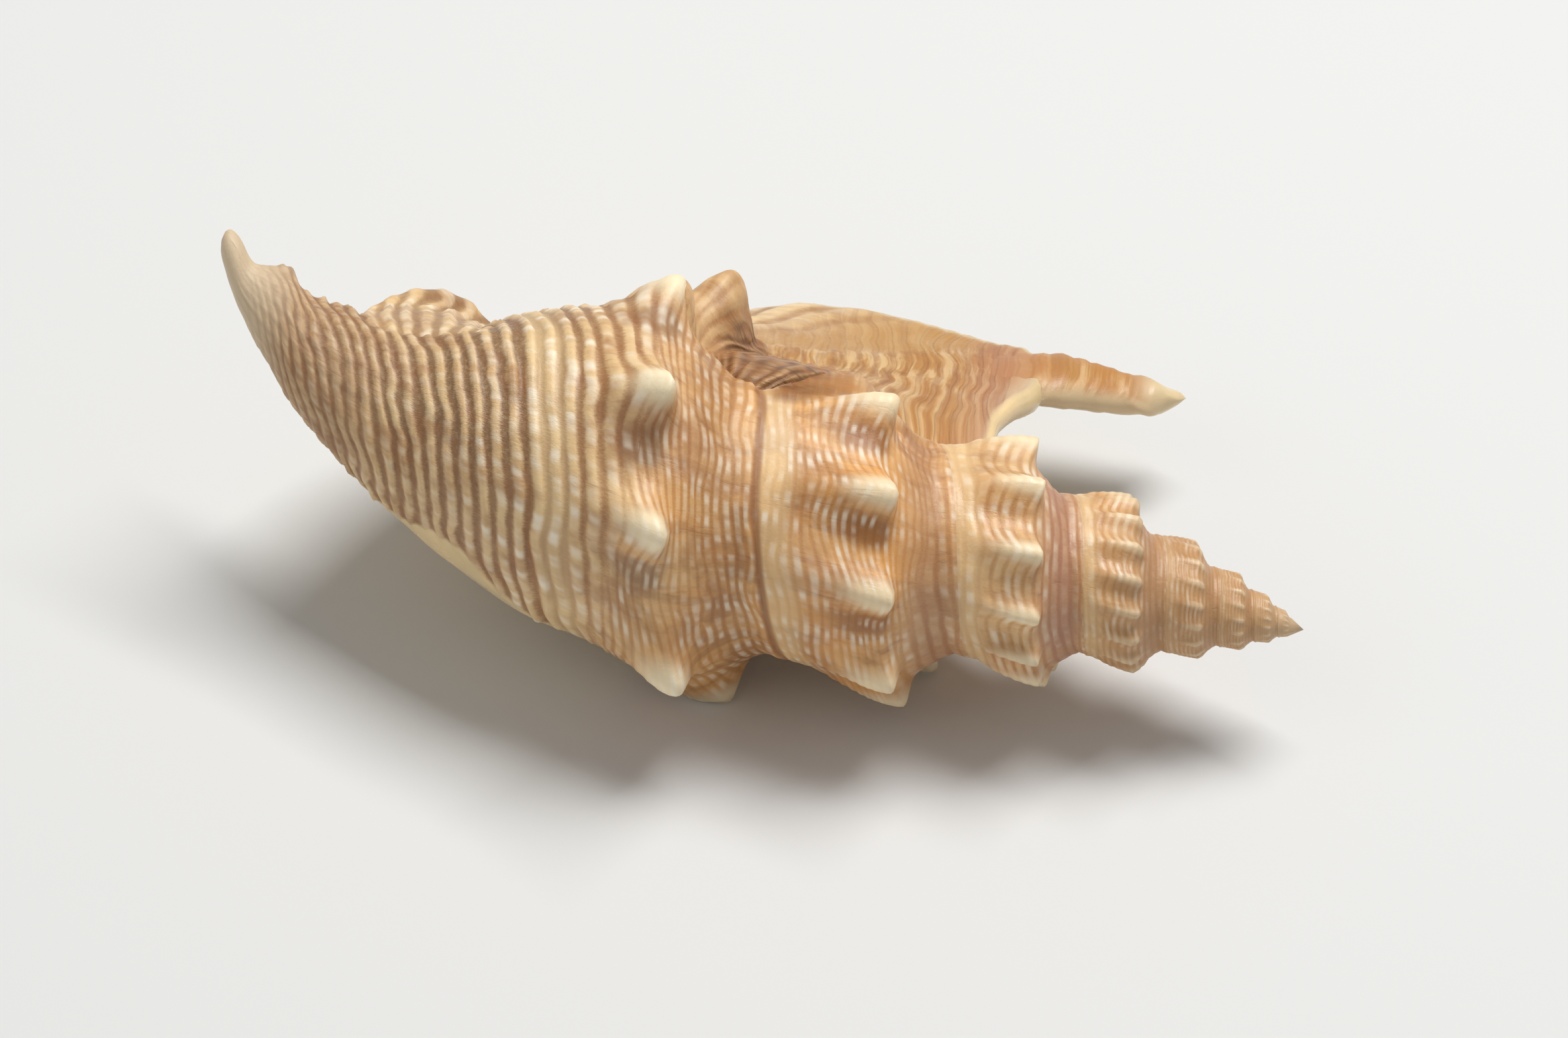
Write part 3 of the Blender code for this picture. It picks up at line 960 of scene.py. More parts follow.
    def relief(self, at: WallPoints) -> Array:
        """Height of the ribs, the sutures, the glaze and the broken flange by the canal's tip.

        Args:
            at: the points of the wall.

        Returns:
            Millimetres over the plain wall, the same on two edges of the strip that meet.
        """
        rib, distance = at.rib(), at.distance
        end = np.where(at.in_body, 1.0, 1.0 - blend(at.place, *self.strip_fall))
        end = end * blend(at.place, *self.strip_rise)
        bare = (1.0 - at.glaze) * (1.0 - self.knob_smoothing * blend(at.knob, *self.worn_knob)) * end
        bare = bare * (1.0 - self.mantle_smoothing * at.mantle)
        bare = bare * (1.0 - blend(distance, *self.rib_end))
        ribbed = self.ribs.relief(rib, at.grown, at.turns, distance) - self.rib_bed
        relief = ribbed * bare * blend(distance, *self.rib_start)
        swelling = self.ribs.growth_swelling(rib, at.grown) * bare
        relief = relief + swelling * blend(distance, *self.swelling_start)
        relief = relief - follow(distance, self.ribs.suture_depth) * at.groove
        relief = relief + self.glaze_height * at.glaze * end
        jagged = 1.0 + self.flange_jags.at(distance, distance)
        flange = bell(np.mod(at.angle, FULL_TURN), *self.flange_angle)
        return relief + follow(distance, self.flange_height) * jagged * flange

    def layers(self, at: WallPoints) -> dict[Layer, Array]:
        """Says where the wall is worn, tinted and marked.

        Args:
            at: the points of the wall.

        Returns:
            The four channels of each layer.
        """
        distance, open_air = at.distance, 1.0 - at.mantle
        on_spire = np.where(at.in_body, 0.0, 1.0)
        on_ramp = bell(at.place, *self.dash_ramp) * (self.dash_ramp_loss * on_spire)
        dash = follow(distance, self.dash_strength) * (1.0 - at.glaze) * open_air * (1.0 - on_ramp)
        # Painted shade: the knob outline moved along the growth, less the knob itself, darkens the wall
        # beside each knob.
        below = self.coil.knob_shape(at.growth + follow(distance, self.knob_shade_shift), at.place, distance)
        knob_shade = np.clip(below - self.knob_shade_tip_cut * at.knob, 0.0, 1.0) * blend(distance, *self.knob_shade_start)
        ramp = bell(at.place, *self.mauve_ramp) * on_spire * bell(distance, *self.mauve_spire)
        mauve = np.clip(ramp + self.mauve_canal_share * blend(distance, *self.mauve_canal), 0.0, 1.0)
        upper = self.grime_below + (1.0 - self.grime_below) * blend(at.wrapped, *self.grime_upper)
        spire = 1.0 - blend(distance, *self.spire_end)
        quiet = 1.0 - blend(distance, *self.quiet_end)
        # The hollow under the lip's foot is painted dark brown: partly its own colour, partly painted shade.
        valley = at.mantle * blend(distance, *self.valley_start)
        return {
            Layer.WEAR: channels(at.knob, at.glaze, follow(distance, self.grime_and_shade) * upper, at.mantle),
            Layer.TINT: channels(follow(distance, self.warm), mauve, follow(distance, self.pale), spire),
            Layer.MARKS: channels(dash, at.groove, valley, 0.0),
            Layer.KIND: channels(follow(distance, self.ribs.doubling), knob_shade * open_air, at.in_body, quiet),
        }

    def surface(self) -> Surface:
        """Computes the ribbed wall.

        Returns:
            The strip, whose edges lie on one another turn on turn.
        """
        coil = self.coil
        first = self.first_turn - 1.0
        columns = round((coil.tip_turn - first) * self.columns_per_turn)
        turn, row = np.meshgrid(
            first + np.arange(columns + 1) / self.columns_per_turn,
            np.arange(self.rows_per_turn + 1) / self.rows_per_turn,
            indexing="ij",
        )
        at = self.located(turn, np.clip(turn + row, self.first_turn, coil.tip_turn))
        radius = np.maximum(at.radius + self.relief(at), 0.0) * coil.sink(at.angle, at.distance)
        radius = np.where(at.closed, 0.0, radius)
        later = np.maximum(np.rint(turn - at.wrapped / FULL_TURN) - coil.last_suture, 0.0)
        return Surface(
            points=self.lie.laid_down(coil.place_points(at.distance, radius, at.angle)),
            ribs=channels(self.ribs.path(RIBS_PER_TURN * (row + later), at.grown), at.grown),
            bands=channels(at.distance * BANDS_PER_MM, at.grown * GROWN_SCALE),
            layers=self.layers(at),
        )

    def build(self) -> bpy.types.Object:
        """Makes the closed wall.

        Returns:
            The wall, with fewer faces near its apex.
        """
        wall = shaped_grid("coiled_wall", self.surface())
        close_up(wall)
        tip = self.lie.laid_down(np.zeros(3))[0]
        thin_out(wall, coordinates(wall.data)[:, 0] > tip - self.apex_reach * MM, self.apex_keep)
        return wall


@dataclass(frozen=True)
class LipPoints:
    """Where the points of the lip's middle surface lie, and how the lip has grown there."""

    sheet: Array
    share: Array
    base: Array
    gap: Array
    horn: Array
    half: Array
    along: Array
    grown: Array
    turns: Array
    rib: Array
    rear: Array
    band: Array
    banded: Array
    section: Array


@dataclass(frozen=True)
class FlaredLip:
    """The lip that fans out of the body whorl and ends in a rear horn.

    The margin's points are (along, left, up) and the axial distance at which their growth leaves the body.
    """

    coil: Coil
    ribs: Ribs
    lie: Lie
    margin: tuple[tuple[float, float, float, float], ...] = (
        (45.6, -3.0, 9.0, 71.3), (42.3, -10.5, 12.2, 72.3), (41.8, -16.2, 16.2, 73.0),
        (39.9, -21.4, 19.1, 73.8), (37.7, -26.0, 20.6, 74.8), (36.8, -29.0, 21.9, 75.9),
        (36.7, -31.4, 23.0, 77.2), (37.0, -33.6, 24.0, 78.6), (37.7, -35.8, 25.0, 80.0),
        (39.0, -37.8, 25.8, 81.3), (40.6, -39.6, 26.2, 82.6), (43.9, -41.2, 26.3, 84.4),
        (52.4, -44.8, 26.9, 86.6), (62.1, -49.2, 26.9, 89.6), (72.4, -52.4, 25.0, 93.1),
        (82.5, -53.6, 18.4, 97.0), (91.2, -51.4, 12.6, 100.9), (98.9, -44.0, 10.7, 104.8),
        (105.3, -33.5, 13.6, 108.2), (111.2, -23.0, 18.0, 111.6), (116.4, -16.5, 18.0, 115.0),
        (120.6, -11.5, 15.3, 118.0), (123.0, -7.0, 12.5, 120.5), (124.5, -2.5, 9.5, 122.5),
    )
    start_angle: Pairs = (
        (71.0, 60.0), (74.0, 63.0), (78.0, 74.0), (82.0, 80.0), (99.0, 80.0), (107.0, 58.0),
    )
    end_angle: float = 155.0
    sunk: float = 0.4
    foot: Span = (76.0, 82.0)
    foot_lift: float = 1.2
    foot_rise: Span = (0.0, 0.06)
    axial_flare: Pairs = (
        (71.0, 0.75), (73.0, 0.9), (76.0, 1.7), (94.0, 1.9), (101.0, 1.2), (107.0, 0.85), (123.0, 0.85),
    )
    flare: Pairs = ((71.0, 1.9), (94.0, 1.9), (101.0, 1.2), (107.0, 0.85), (123.0, 0.85))
    loose: Span = (0.15, 0.5)
    relaxing: int = 15
    normal_smoothing: int = 5
    thickness: float = 2.6
    horn_thickness: float = 4.8
    horn_range: Span = (34.0, 46.0)
    taper: float = 0.6
    taper_range: Span = (112.0, 122.0)
    keel: Span = (82.0, 1.6)
    keel_height: float = 2.0
    keel_rise: Span = (0.1, 0.4)
    knob_across: Span = (0.27, 0.09)
    knob_along: Span = (83.0, 2.7)
    knob_height: float = 8.0
    knob_lean: float = 0.2
    inside_keep: float = 0.3
    inside_rings: int = 3
    coarse_rows: int = 12
    coarse_columns: int = 46
    row_refining: int = 8
    column_refining: int = 4
    turn_length: float = 120.0
    rear_end: Span = (85.0, 93.0)
    rear_section: float = 84.0
    relief_start: Span = (0.0, 0.04)
    relief_rim: Span = (0.2, 1.8)
    banded_start: Span = (0.22, 0.38)
    banded_smoothing: float = 0.8
    horn_smoothing: float = 0.6
    swelling_share: float = 0.5
    band_length: float = 2.1
    band_relief: float = 0.13
    band_lean: Span = (0.45, -0.25)
    band_wander: Wander = Wander(0.6, 0.3, 0.12)
    band_ripple: Wander = Wander(0.2, 0.9, 0.3)
    pleat: float = 0.35
    pleat_start: Span = (0.5, 1.0)
    pleat_end: Span = (117.0, 121.0)
    rim_width: Span = (0.6, 2.4)
    rim_start: Span = (0.5, 0.8)
    rim_end: Span = (101.0, 106.0)
    rim_pallor: float = 0.8
    rim_glaze: float = 0.7
    notch_end: Span = (76.5, 79.5)
    notch_width: Span = (2.0, 5.0)
    # Where the lip's dark hollow lies, partly its own brown and partly painted shade.
    hollow: tuple[Span, Span] = ((57.0, 63.0), (76.0, 81.0))
    hollow_top: Span = (20.5, 23.5)
    hollow_across: Span = (0.35, 0.5)
    grimy: tuple[Span, Span] = ((92.0, 104.0), (116.0, 121.0))
    grime_share: float = 0.5
    warm_shares: Span = (0.35, 0.55)
    mauve: Span = (43.0, 4.5)
    mauve_start: Span = (0.4, 0.8)
    mauve_share: float = 0.5
    beyond_keel: Span = (82.2, 83.8)
    dash_share: float = 0.7
    lobe_start: Span = (98.0, 106.0)
    lobe_quiet: float = 0.85

    def margin_curve(self, samples: int) -> Array:
        """The margin as a smooth curve of some samples."""
        knots = np.array(self.margin)
        return refined(knots, np.linspace(0.0, len(knots) - 1.0, samples))

    def shares(self, rows: int) -> Array:
        """Shares of the way across the lip, one for each row of points."""
        return np.linspace(0.0, 1.0, rows + 1)[:, None]

    def base_sheet(self) -> Array:
        """Middle surface of the lip on a coarse grid, evened out, without its knob and keel.

        Returns:
            The points, with rows from the body to the margin.
        """
        margin = self.margin_curve(self.coarse_columns + 1)
        share = self.shares(self.coarse_rows)
        base = margin[None, :, 3]
        start = follow(base, self.start_angle)
        angle = start + (self.end_angle - start) * share
        turn = self.coil.turn_at(base) + (angle - start) / FULL_TURN
        distance, radius, _ = self.coil.wall(turn, angle, lip_side=True)
        reach = share ** follow(base, self.axial_flare)
        distance = distance * (1.0 - reach) + margin[None, :, 0] * reach
        foot = 1.0 - blend(base, *self.foot)
        _, under, _ = self.coil.wall(self.coil.turn_at(distance), angle)
        lift = self.foot_lift * blend(share, *self.foot_rise)
        radius = radius - self.sunk + foot * np.maximum(under + lift - radius, 0.0)
        body = self.coil.place_points(distance, radius - self.thickness / 2.0, angle)
        flare = (share ** follow(base, self.flare))[..., None]
        sheet = body * (1.0 - flare) + margin[None, :, :3] * flare
        sheet[..., 0] = distance
        loose = blend(share, *self.loose)[1:-1, :, None] / 2.0
        for _ in range(self.relaxing):
            sheet[1:-1, 1:-1] += (neighbour_mean(sheet) - sheet)[1:-1, 1:-1] * loose
        return sheet

    def raised(self, sheet: Array, share: Array, base: Array) -> Array:
        """Adds the knob and the keel to a middle surface.

        Args:
            sheet: the points.
            share: how far across the lip each row is.
            base: axial distance where each column's growth leaves the body.

        Returns:
            The moved points.
        """
        knob = bell(share, *self.knob_across) * bell(base, *self.knob_along)
        keel = bell(base, *self.keel) * blend(share, *self.keel_rise) * (1.0 - share)
        moved = sheet.copy()
        moved[..., 2] += self.knob_height * knob + self.keel_height * keel
        moved[..., 0] -= self.knob_lean * self.knob_height * knob
        return moved

    def normals(self, sheet: Array) -> Array:
        """Directions square to a grid of points, evened out over neighbours.

        Args:
            sheet: the points.

        Returns:
            Unit vectors that point to the outside.
        """
        normal = np.cross(np.gradient(sheet, axis=0), np.gradient(sheet, axis=1))
        for _ in range(self.normal_smoothing):
            normal = unit(normal)
            normal = (normal + neighbour_mean(normal)) / 2.0
        return unit(normal)

    def surfaces(self, wall: CoiledWall) -> list[Surface]:
        """Computes the ribbed outside and the smooth inside of the lip.

        Args:
            wall: the coiled wall, whose growth the lip goes on with.

        Returns:
            The outside and the inside, which meet along all four edges.
        """
        rows, columns = self.coarse_rows * self.row_refining, self.coarse_columns * self.column_refining
        down = np.linspace(0.0, self.coarse_rows, rows + 1)
        across = np.linspace(0.0, self.coarse_columns, columns + 1)
        coarse = self.base_sheet()
        coarse_base = self.margin_curve(self.coarse_columns + 1)[None, :, 3]
        normal = self.normals(self.raised(coarse, self.shares(self.coarse_rows), coarse_base))
        normal = refined(refined(normal, down), across, 1)
        share, base = np.broadcast_arrays(self.shares(rows), self.margin_curve(columns + 1)[None, :, 3])
        sheet = self.raised(refined(refined(coarse, down), across, 1), share, base)
        at = self.grown_points(wall, sheet, share, base)
        sheet = self.pleated(at)
        outer = sheet + normal * (at.half + self.relief(at))[..., None]
        inner = sheet - normal * at.half[..., None]
        ribs = channels(self.ribs.path(at.rib, at.grown), at.grown)
        bands = channels(at.band, at.along * GROWN_SCALE)
        return [
            Surface(self.lie.laid_down(points), ribs, bands, layers)
            for points, layers in zip((outer, inner), self.layers(at, sheet))
        ]

    def grown_points(self, wall: CoiledWall, sheet: Array, share: Array, base: Array) -> LipPoints:
        """Works out the lip's thickness and growth.

        Args:
            wall: the coiled wall, whose growth the lip goes on with.
            sheet: fine middle surface in millimetres.
            share: how far across the lip each point is, 0 at the body and 1 at the margin.
            base: axial distance where each point's growth leaves the body.

        Returns:
            What the relief and the layers need to know of the points.
        """
        horn = 1.0 - blend(sheet[..., 0], *self.horn_range)
        full = self.thickness + (self.horn_thickness - self.thickness) * horn
        full = full * (1.0 - self.taper * blend(sheet[..., 0], *self.taper_range))
        gap = edge_distance(sheet)
        reach = np.clip(gap / (full / 2.0), 0.0, 1.0)
        step = np.linalg.norm(np.diff(sheet, axis=0, prepend=sheet[:1]), axis=-1)
        along = np.cumsum(step, axis=0)
        start = self.coil.last_suture + follow(base, self.start_angle) / FULL_TURN
        rear = 1.0 - blend(base, *self.rear_end)
        return LipPoints(
            sheet=sheet,
            share=share,
            base=base,
            gap=gap,
            horn=horn,
            half=full / 2.0 * np.sqrt(1.0 - (1.0 - reach) ** 2),
            along=along,
            grown=wall.grown_length(start) + along,
            turns=start + along / self.turn_length,
            rib=RIBS_PER_TURN * (self.coil.turn_at(base) - start),
            rear=rear,
            band=self.growth_bands(sheet),
            banded=rear * blend(share, *self.banded_start),
            section=np.maximum(base, self.rear_section),
        )

    def relief(self, at: LipPoints) -> Array:
        """Height of the ribs, the growth bands and the swellings of the outside.

        Args:
            at: the points of the lip.

        Returns:
            Millimetres over the smooth outside, 0 along its edges.
        """
        ribbed = self.ribs.relief(at.rib, at.grown, at.turns, at.section)
        height = ribbed * (1.0 - self.banded_smoothing * at.banded) * (1.0 - self.horn_smoothing * at.horn)
        height = height + self.band_relief * np.cos(2.0 * np.pi * at.band) * at.banded
        height = height + self.swelling_share * self.ribs.growth_swelling(at.rib, at.grown)
        return height * blend(at.gap, *self.relief_rim) * blend(at.share, *self.relief_start)

    def pleated(self, at: LipPoints) -> Array:
        """Lets the ribs pleat the margin.

        Args:
            at: the points of the lip.

        Returns:
            The middle surface with each rib's crest a little further out at the margin.
        """
        out = blend(at.share, *self.pleat_start)[..., None] * unit(np.gradient(at.sheet, axis=0))
        crest = self.ribs.profile(at.rib, at.grown, at.section)
        wave = (crest - 0.5) * (1.0 - at.rear) * self.pleat
        return at.sheet + out * wave[..., None] * (1.0 - blend(at.base, *self.pleat_end))[..., None]

    def layers(self, at: LipPoints, sheet: Array) -> tuple[dict[Layer, Array], dict[Layer, Array]]:
        """Says where the lip is worn, tinted and marked.

        Args:
            at: the points of the lip.
            sheet: its middle surface with the pleats.

        Returns:
            The four channels of each layer, for the outside and the inside.
        """
        along, _, up = np.moveaxis(sheet, -1, 0)
        rim = (1.0 - blend(at.gap, *self.rim_width)) * blend(at.share, *self.rim_start)
        rim = rim * (1.0 - blend(at.base, *self.rim_end))
        notch = at.horn * (1.0 - blend(at.base, *self.notch_end)) * (1.0 - blend(at.gap, *self.notch_width))
        pale = np.clip(np.maximum(self.rim_pallor * rim, notch), 0.0, 1.0)
        # The hollow by the body is painted dark, partly its own brown and partly painted shade, and it goes
        # into the grime channel too.
        valley = window(along, *self.hollow) * (1.0 - blend(up, *self.hollow_top))
        valley = valley * (1.0 - blend(at.share, *self.hollow_across))
        grime_and_shade = np.clip(valley + self.grime_share * window(at.base, *self.grimy), 0.0, 1.0)
        rear_warmth, horn_warmth = self.warm_shares
        warm = np.clip(rear_warmth * at.rear + horn_warmth * at.horn, 0.0, 1.0)
        mauve = self.mauve_share * bell(along, *self.mauve) * at.rear * blend(at.share, *self.mauve_start)
        beyond = blend(at.base, *self.beyond_keel) * at.rear
        quiet = self.lobe_quiet * blend(at.base, *self.lobe_start)
        kind = channels(follow(at.section, self.ribs.doubling), 0.0, 1.0, quiet)
        outside = {
            Layer.WEAR: channels(0.0, self.rim_glaze * rim, grime_and_shade, at.banded),
            Layer.TINT: channels(warm, mauve, pale, 0.0),
            Layer.MARKS: channels(self.dash_share * (1.0 - at.rear), 0.0, valley, beyond),
            Layer.KIND: kind,
        }
        inside = {
            Layer.WEAR: channels(0.0, 1.0, 0.0, 0.0),
            Layer.TINT: channels(0.0, 0.0, pale / 2.0, 0.0),
            Layer.MARKS: channels(0.0, 0.0, 0.0, 0.0),
            Layer.KIND: kind,
        }
        return outside, inside

    def growth_bands(self, points: Array) -> Array:
        """Number of the growth band at each point of the rear of the lip.

        Args:
            points: points as (along, left, up).

        Returns:
            Fractional numbers, whole in the middle between two lines.
        """
        along, left, up = np.moveaxis(points, -1, 0)
        by_height, by_side = self.band_lean
        across = up * by_height + left * by_side
        wander = self.band_wander.at(across, along) + self.band_ripple.at(across, along)
        return along / self.band_length + wander

    def build(self, wall: CoiledWall) -> bpy.types.Object:
        """Makes the closed lip.

        Args:
            wall: the coiled wall, whose growth the lip goes on with.

        Returns:
            The lip, with fewer faces inside.
        """
        outside, inside = (
            shaped_grid(name, face) for name, face in zip(("lip", "lip_inside"), self.surfaces(wall))
        )
        poke_corners(outside)
        thin_out(inside, inner_points(inside.data, self.inside_rings), self.inside_keep)
        make_active(outside)
        inside.select_set(True)
        bpy.ops.object.join()
        close_up(outside)
        return outside


@dataclass(frozen=True)
class Horn:
    """The horn at the rear of the lip: a tapering, flattened finger that grows out of the lip's rim.

    Its course is (along, left, up) with half its width and half its thickness.
    """

    lip: FlaredLip
    lie: Lie
    course: tuple[tuple[float, float, float, float, float], ...] = (
        (54.0, -30.4, 22.0, 0.0, 0.0), (53.0, -30.5, 22.0, 3.0, 0.4), (50.0, -31.0, 22.2, 4.5, 0.8),
        (46.0, -31.7, 22.65, 5.6, 1.1), (41.0, -32.1, 23.3, 6.1, 2.0), (36.0, -33.0, 24.05, 5.7, 2.65),
        (31.0, -34.2, 24.25, 4.6, 2.6), (26.5, -35.1, 24.35, 3.7, 2.4), (23.7, -35.7, 24.6, 3.2, 2.1),
        (21.9, -36.1, 24.8, 2.2, 1.6), (20.2, -36.4, 25.2, 1.1, 0.9), (19.2, -36.6, 25.5, 0.0, 0.0),
    )
    side: tuple[float, float, float] = (0.0, -0.897, 0.443)
    facing: tuple[float, float, float] = (0.0, 0.443, 0.897)
    rows: int = 72
    columns: int = 52
    wrinkles: Wander = Wander(0.14, 0.9, 1.5, (0.0, 3.0))
    wrinkle_start: Span = (20.0, 24.0)
    wrinkle_least: float = 1.0
    chip: Pairs = ((0.0, 0.5), (21.0, 0.45), (25.0, 0.3), (27.0, 0.0), (60.0, 0.0))
    chip_turn: Span = (1.5, 0.5)
    tip: Span = (21.5, 28.0)
    lower_side: tuple[Span, Span] = ((2.2, 3.1), (4.6, 5.6))
    lower_end: Span = (42.0, 47.0)
    lower_pallor: float = 0.85
    under_side: tuple[Span, Span] = ((3.6, 4.2), (5.7, 6.1))
    banded_along: tuple[Span, Span] = ((24.0, 30.0), (48.0, 52.0))
    warm_end: Span = (36.0, 48.0)
    warm_loss: float = 0.5
    tip_glaze: float = 0.5
    rib_count: float = 3.0

    def surface(self) -> Surface:
        """Computes the horn.

        Returns:
            A tube whose long edges and ends close on themselves.
        """
        knots = np.array(self.course)
        line = refined(knots, np.linspace(0.0, len(knots) - 1.0, self.rows + 1))
        line[[0, -1], 3:] = 0.0
        turn, along = np.broadcast_arrays(np.linspace(0.0, 2.0 * np.pi, self.columns + 1), line[:, None, 0])
        wrinkle = self.wrinkles.at(along, np.cos(turn)) * blend(along, *self.wrinkle_start)
        by_turn, by_place = self.chip_turn
        facet = np.abs(np.cos(by_turn * turn + along * by_place))
        size = 1.0 - follow(along, self.chip) * 0.5 * (facet - 0.5)
        halves = np.maximum(line[:, None, 3:], 0.0)
        wide, thick = (
            (half * size + wrinkle * (half > self.wrinkle_least)) * circle
            for half, circle in ((halves[..., 0], np.cos(turn)), (halves[..., 1], np.sin(turn)))
        )
        side, facing = np.array(self.side), np.array(self.facing)
        points = line[:, None, :3] + wide[..., None] * side + thick[..., None] * facing
        band = self.lip.growth_bands(points)
        lower = window(turn, *self.lower_side) * (1.0 - blend(along, *self.lower_end)) * self.lower_pallor
        pale = np.clip(np.maximum(lower, 1.0 - blend(along, *self.tip)), 0.0, 1.0)
        under = window(turn, *self.under_side)
        ridge = self.lip.band_relief * np.cos(2.0 * np.pi * band) * (1.0 - pale) * (1.0 - under)
        points = points + (ridge * window(along, *self.banded_along))[..., None] * facing
        warm = np.clip(1.0 - self.warm_loss * blend(along, *self.warm_end), 0.0, 1.0)
        mauve = self.lip.mauve_share * bell(along, *self.lip.mauve)
        return Surface(
            points=self.lie.laid_down(points),
            ribs=channels(self.rib_count + np.sin(turn), along),
            bands=channels(band, along * GROWN_SCALE),
            layers={
                Layer.WEAR: channels(0.0, np.maximum(under, self.tip_glaze * pale), 0.0, 1.0 - under),
                Layer.TINT: channels(warm, mauve, pale, 0.0),
                Layer.MARKS: channels(0.0, 0.0, 0.0, 0.0),
                Layer.KIND: channels(0.0, 0.0, 1.0, 0.0),
            },
        )

    def build(self) -> bpy.types.Object:
        """Makes the closed horn.

        Returns:
            The tube.
        """
        horn = shaped_grid("horn", self.surface())
        close_up(horn)
        return horn


@dataclass(frozen=True)
class Skin:
    """The one closed skin: the lip and the horn grown onto the coiled wall."""

    wall: CoiledWall
    lip: FlaredLip
    horn: Horn
    name: str = "shell_skin"

    def build(self) -> bpy.types.Object:
        """Builds the wall, the lip and the horn and grows them together.

        Returns:
            The closed skin, cut off where it would sink into the ground.
        """
        skin = self.wall.build()
        for grown in (self.lip.build(self.wall), self.horn.build()):
            make_active(skin)
            union = skin.modifiers.new("grow", "BOOLEAN")
            union.operation = "UNION"
            union.solver = "MANIFOLD"
            union.object = grown
            bpy.ops.object.modifier_apply(modifier=union.name)
            bpy.data.objects.remove(grown, do_unlink=True)
        place = coordinates(skin.data)
        place[:, 2] = np.maximum(place[:, 2], 0.0)
        skin.data.vertices.foreach_set("co", place.ravel())
        self.drop_crumbs(skin, int(np.argmax(place[:, 0])))
        make_active(skin)
        bpy.ops.object.shade_smooth()
        skin.name = self.name
        skin.data.name = self.name
        return skin

    def drop_crumbs(self, skin: bpy.types.Object, apex: int) -> None:
        """Deletes the crumbs that a union leaves loose.

        Args:
            skin: the grown mesh.
            apex: index of the vertex at the apex, which is on the part to keep.
        """
        clear_selection(skin, "VERT")
        skin.data.vertices[apex].select = True
        with editing(skin):
            bpy.ops.mesh.select_linked()
            bpy.ops.mesh.select_all(action="INVERT")
            bpy.ops.mesh.delete(type="VERT")

    def dress(self, skin: bpy.types.Object, finish: "ShellFinish") -> None:
        """Puts the finish on the skin."""
        skin.data.materials.clear()
        skin.data.materials.append(finish.build())


@dataclass(frozen=True)
class Grain:
    """Noise through the shell: its humps in a metre, its detail and its roughness."""

    scale: float
    detail: float
    rough: float


@dataclass(frozen=True)
class Streaks:
    """Noise stretched over the surface: its humps in a unit of two coordinates, detail and roughness."""

    first: float
    second: float
    detail: float
    rough: float


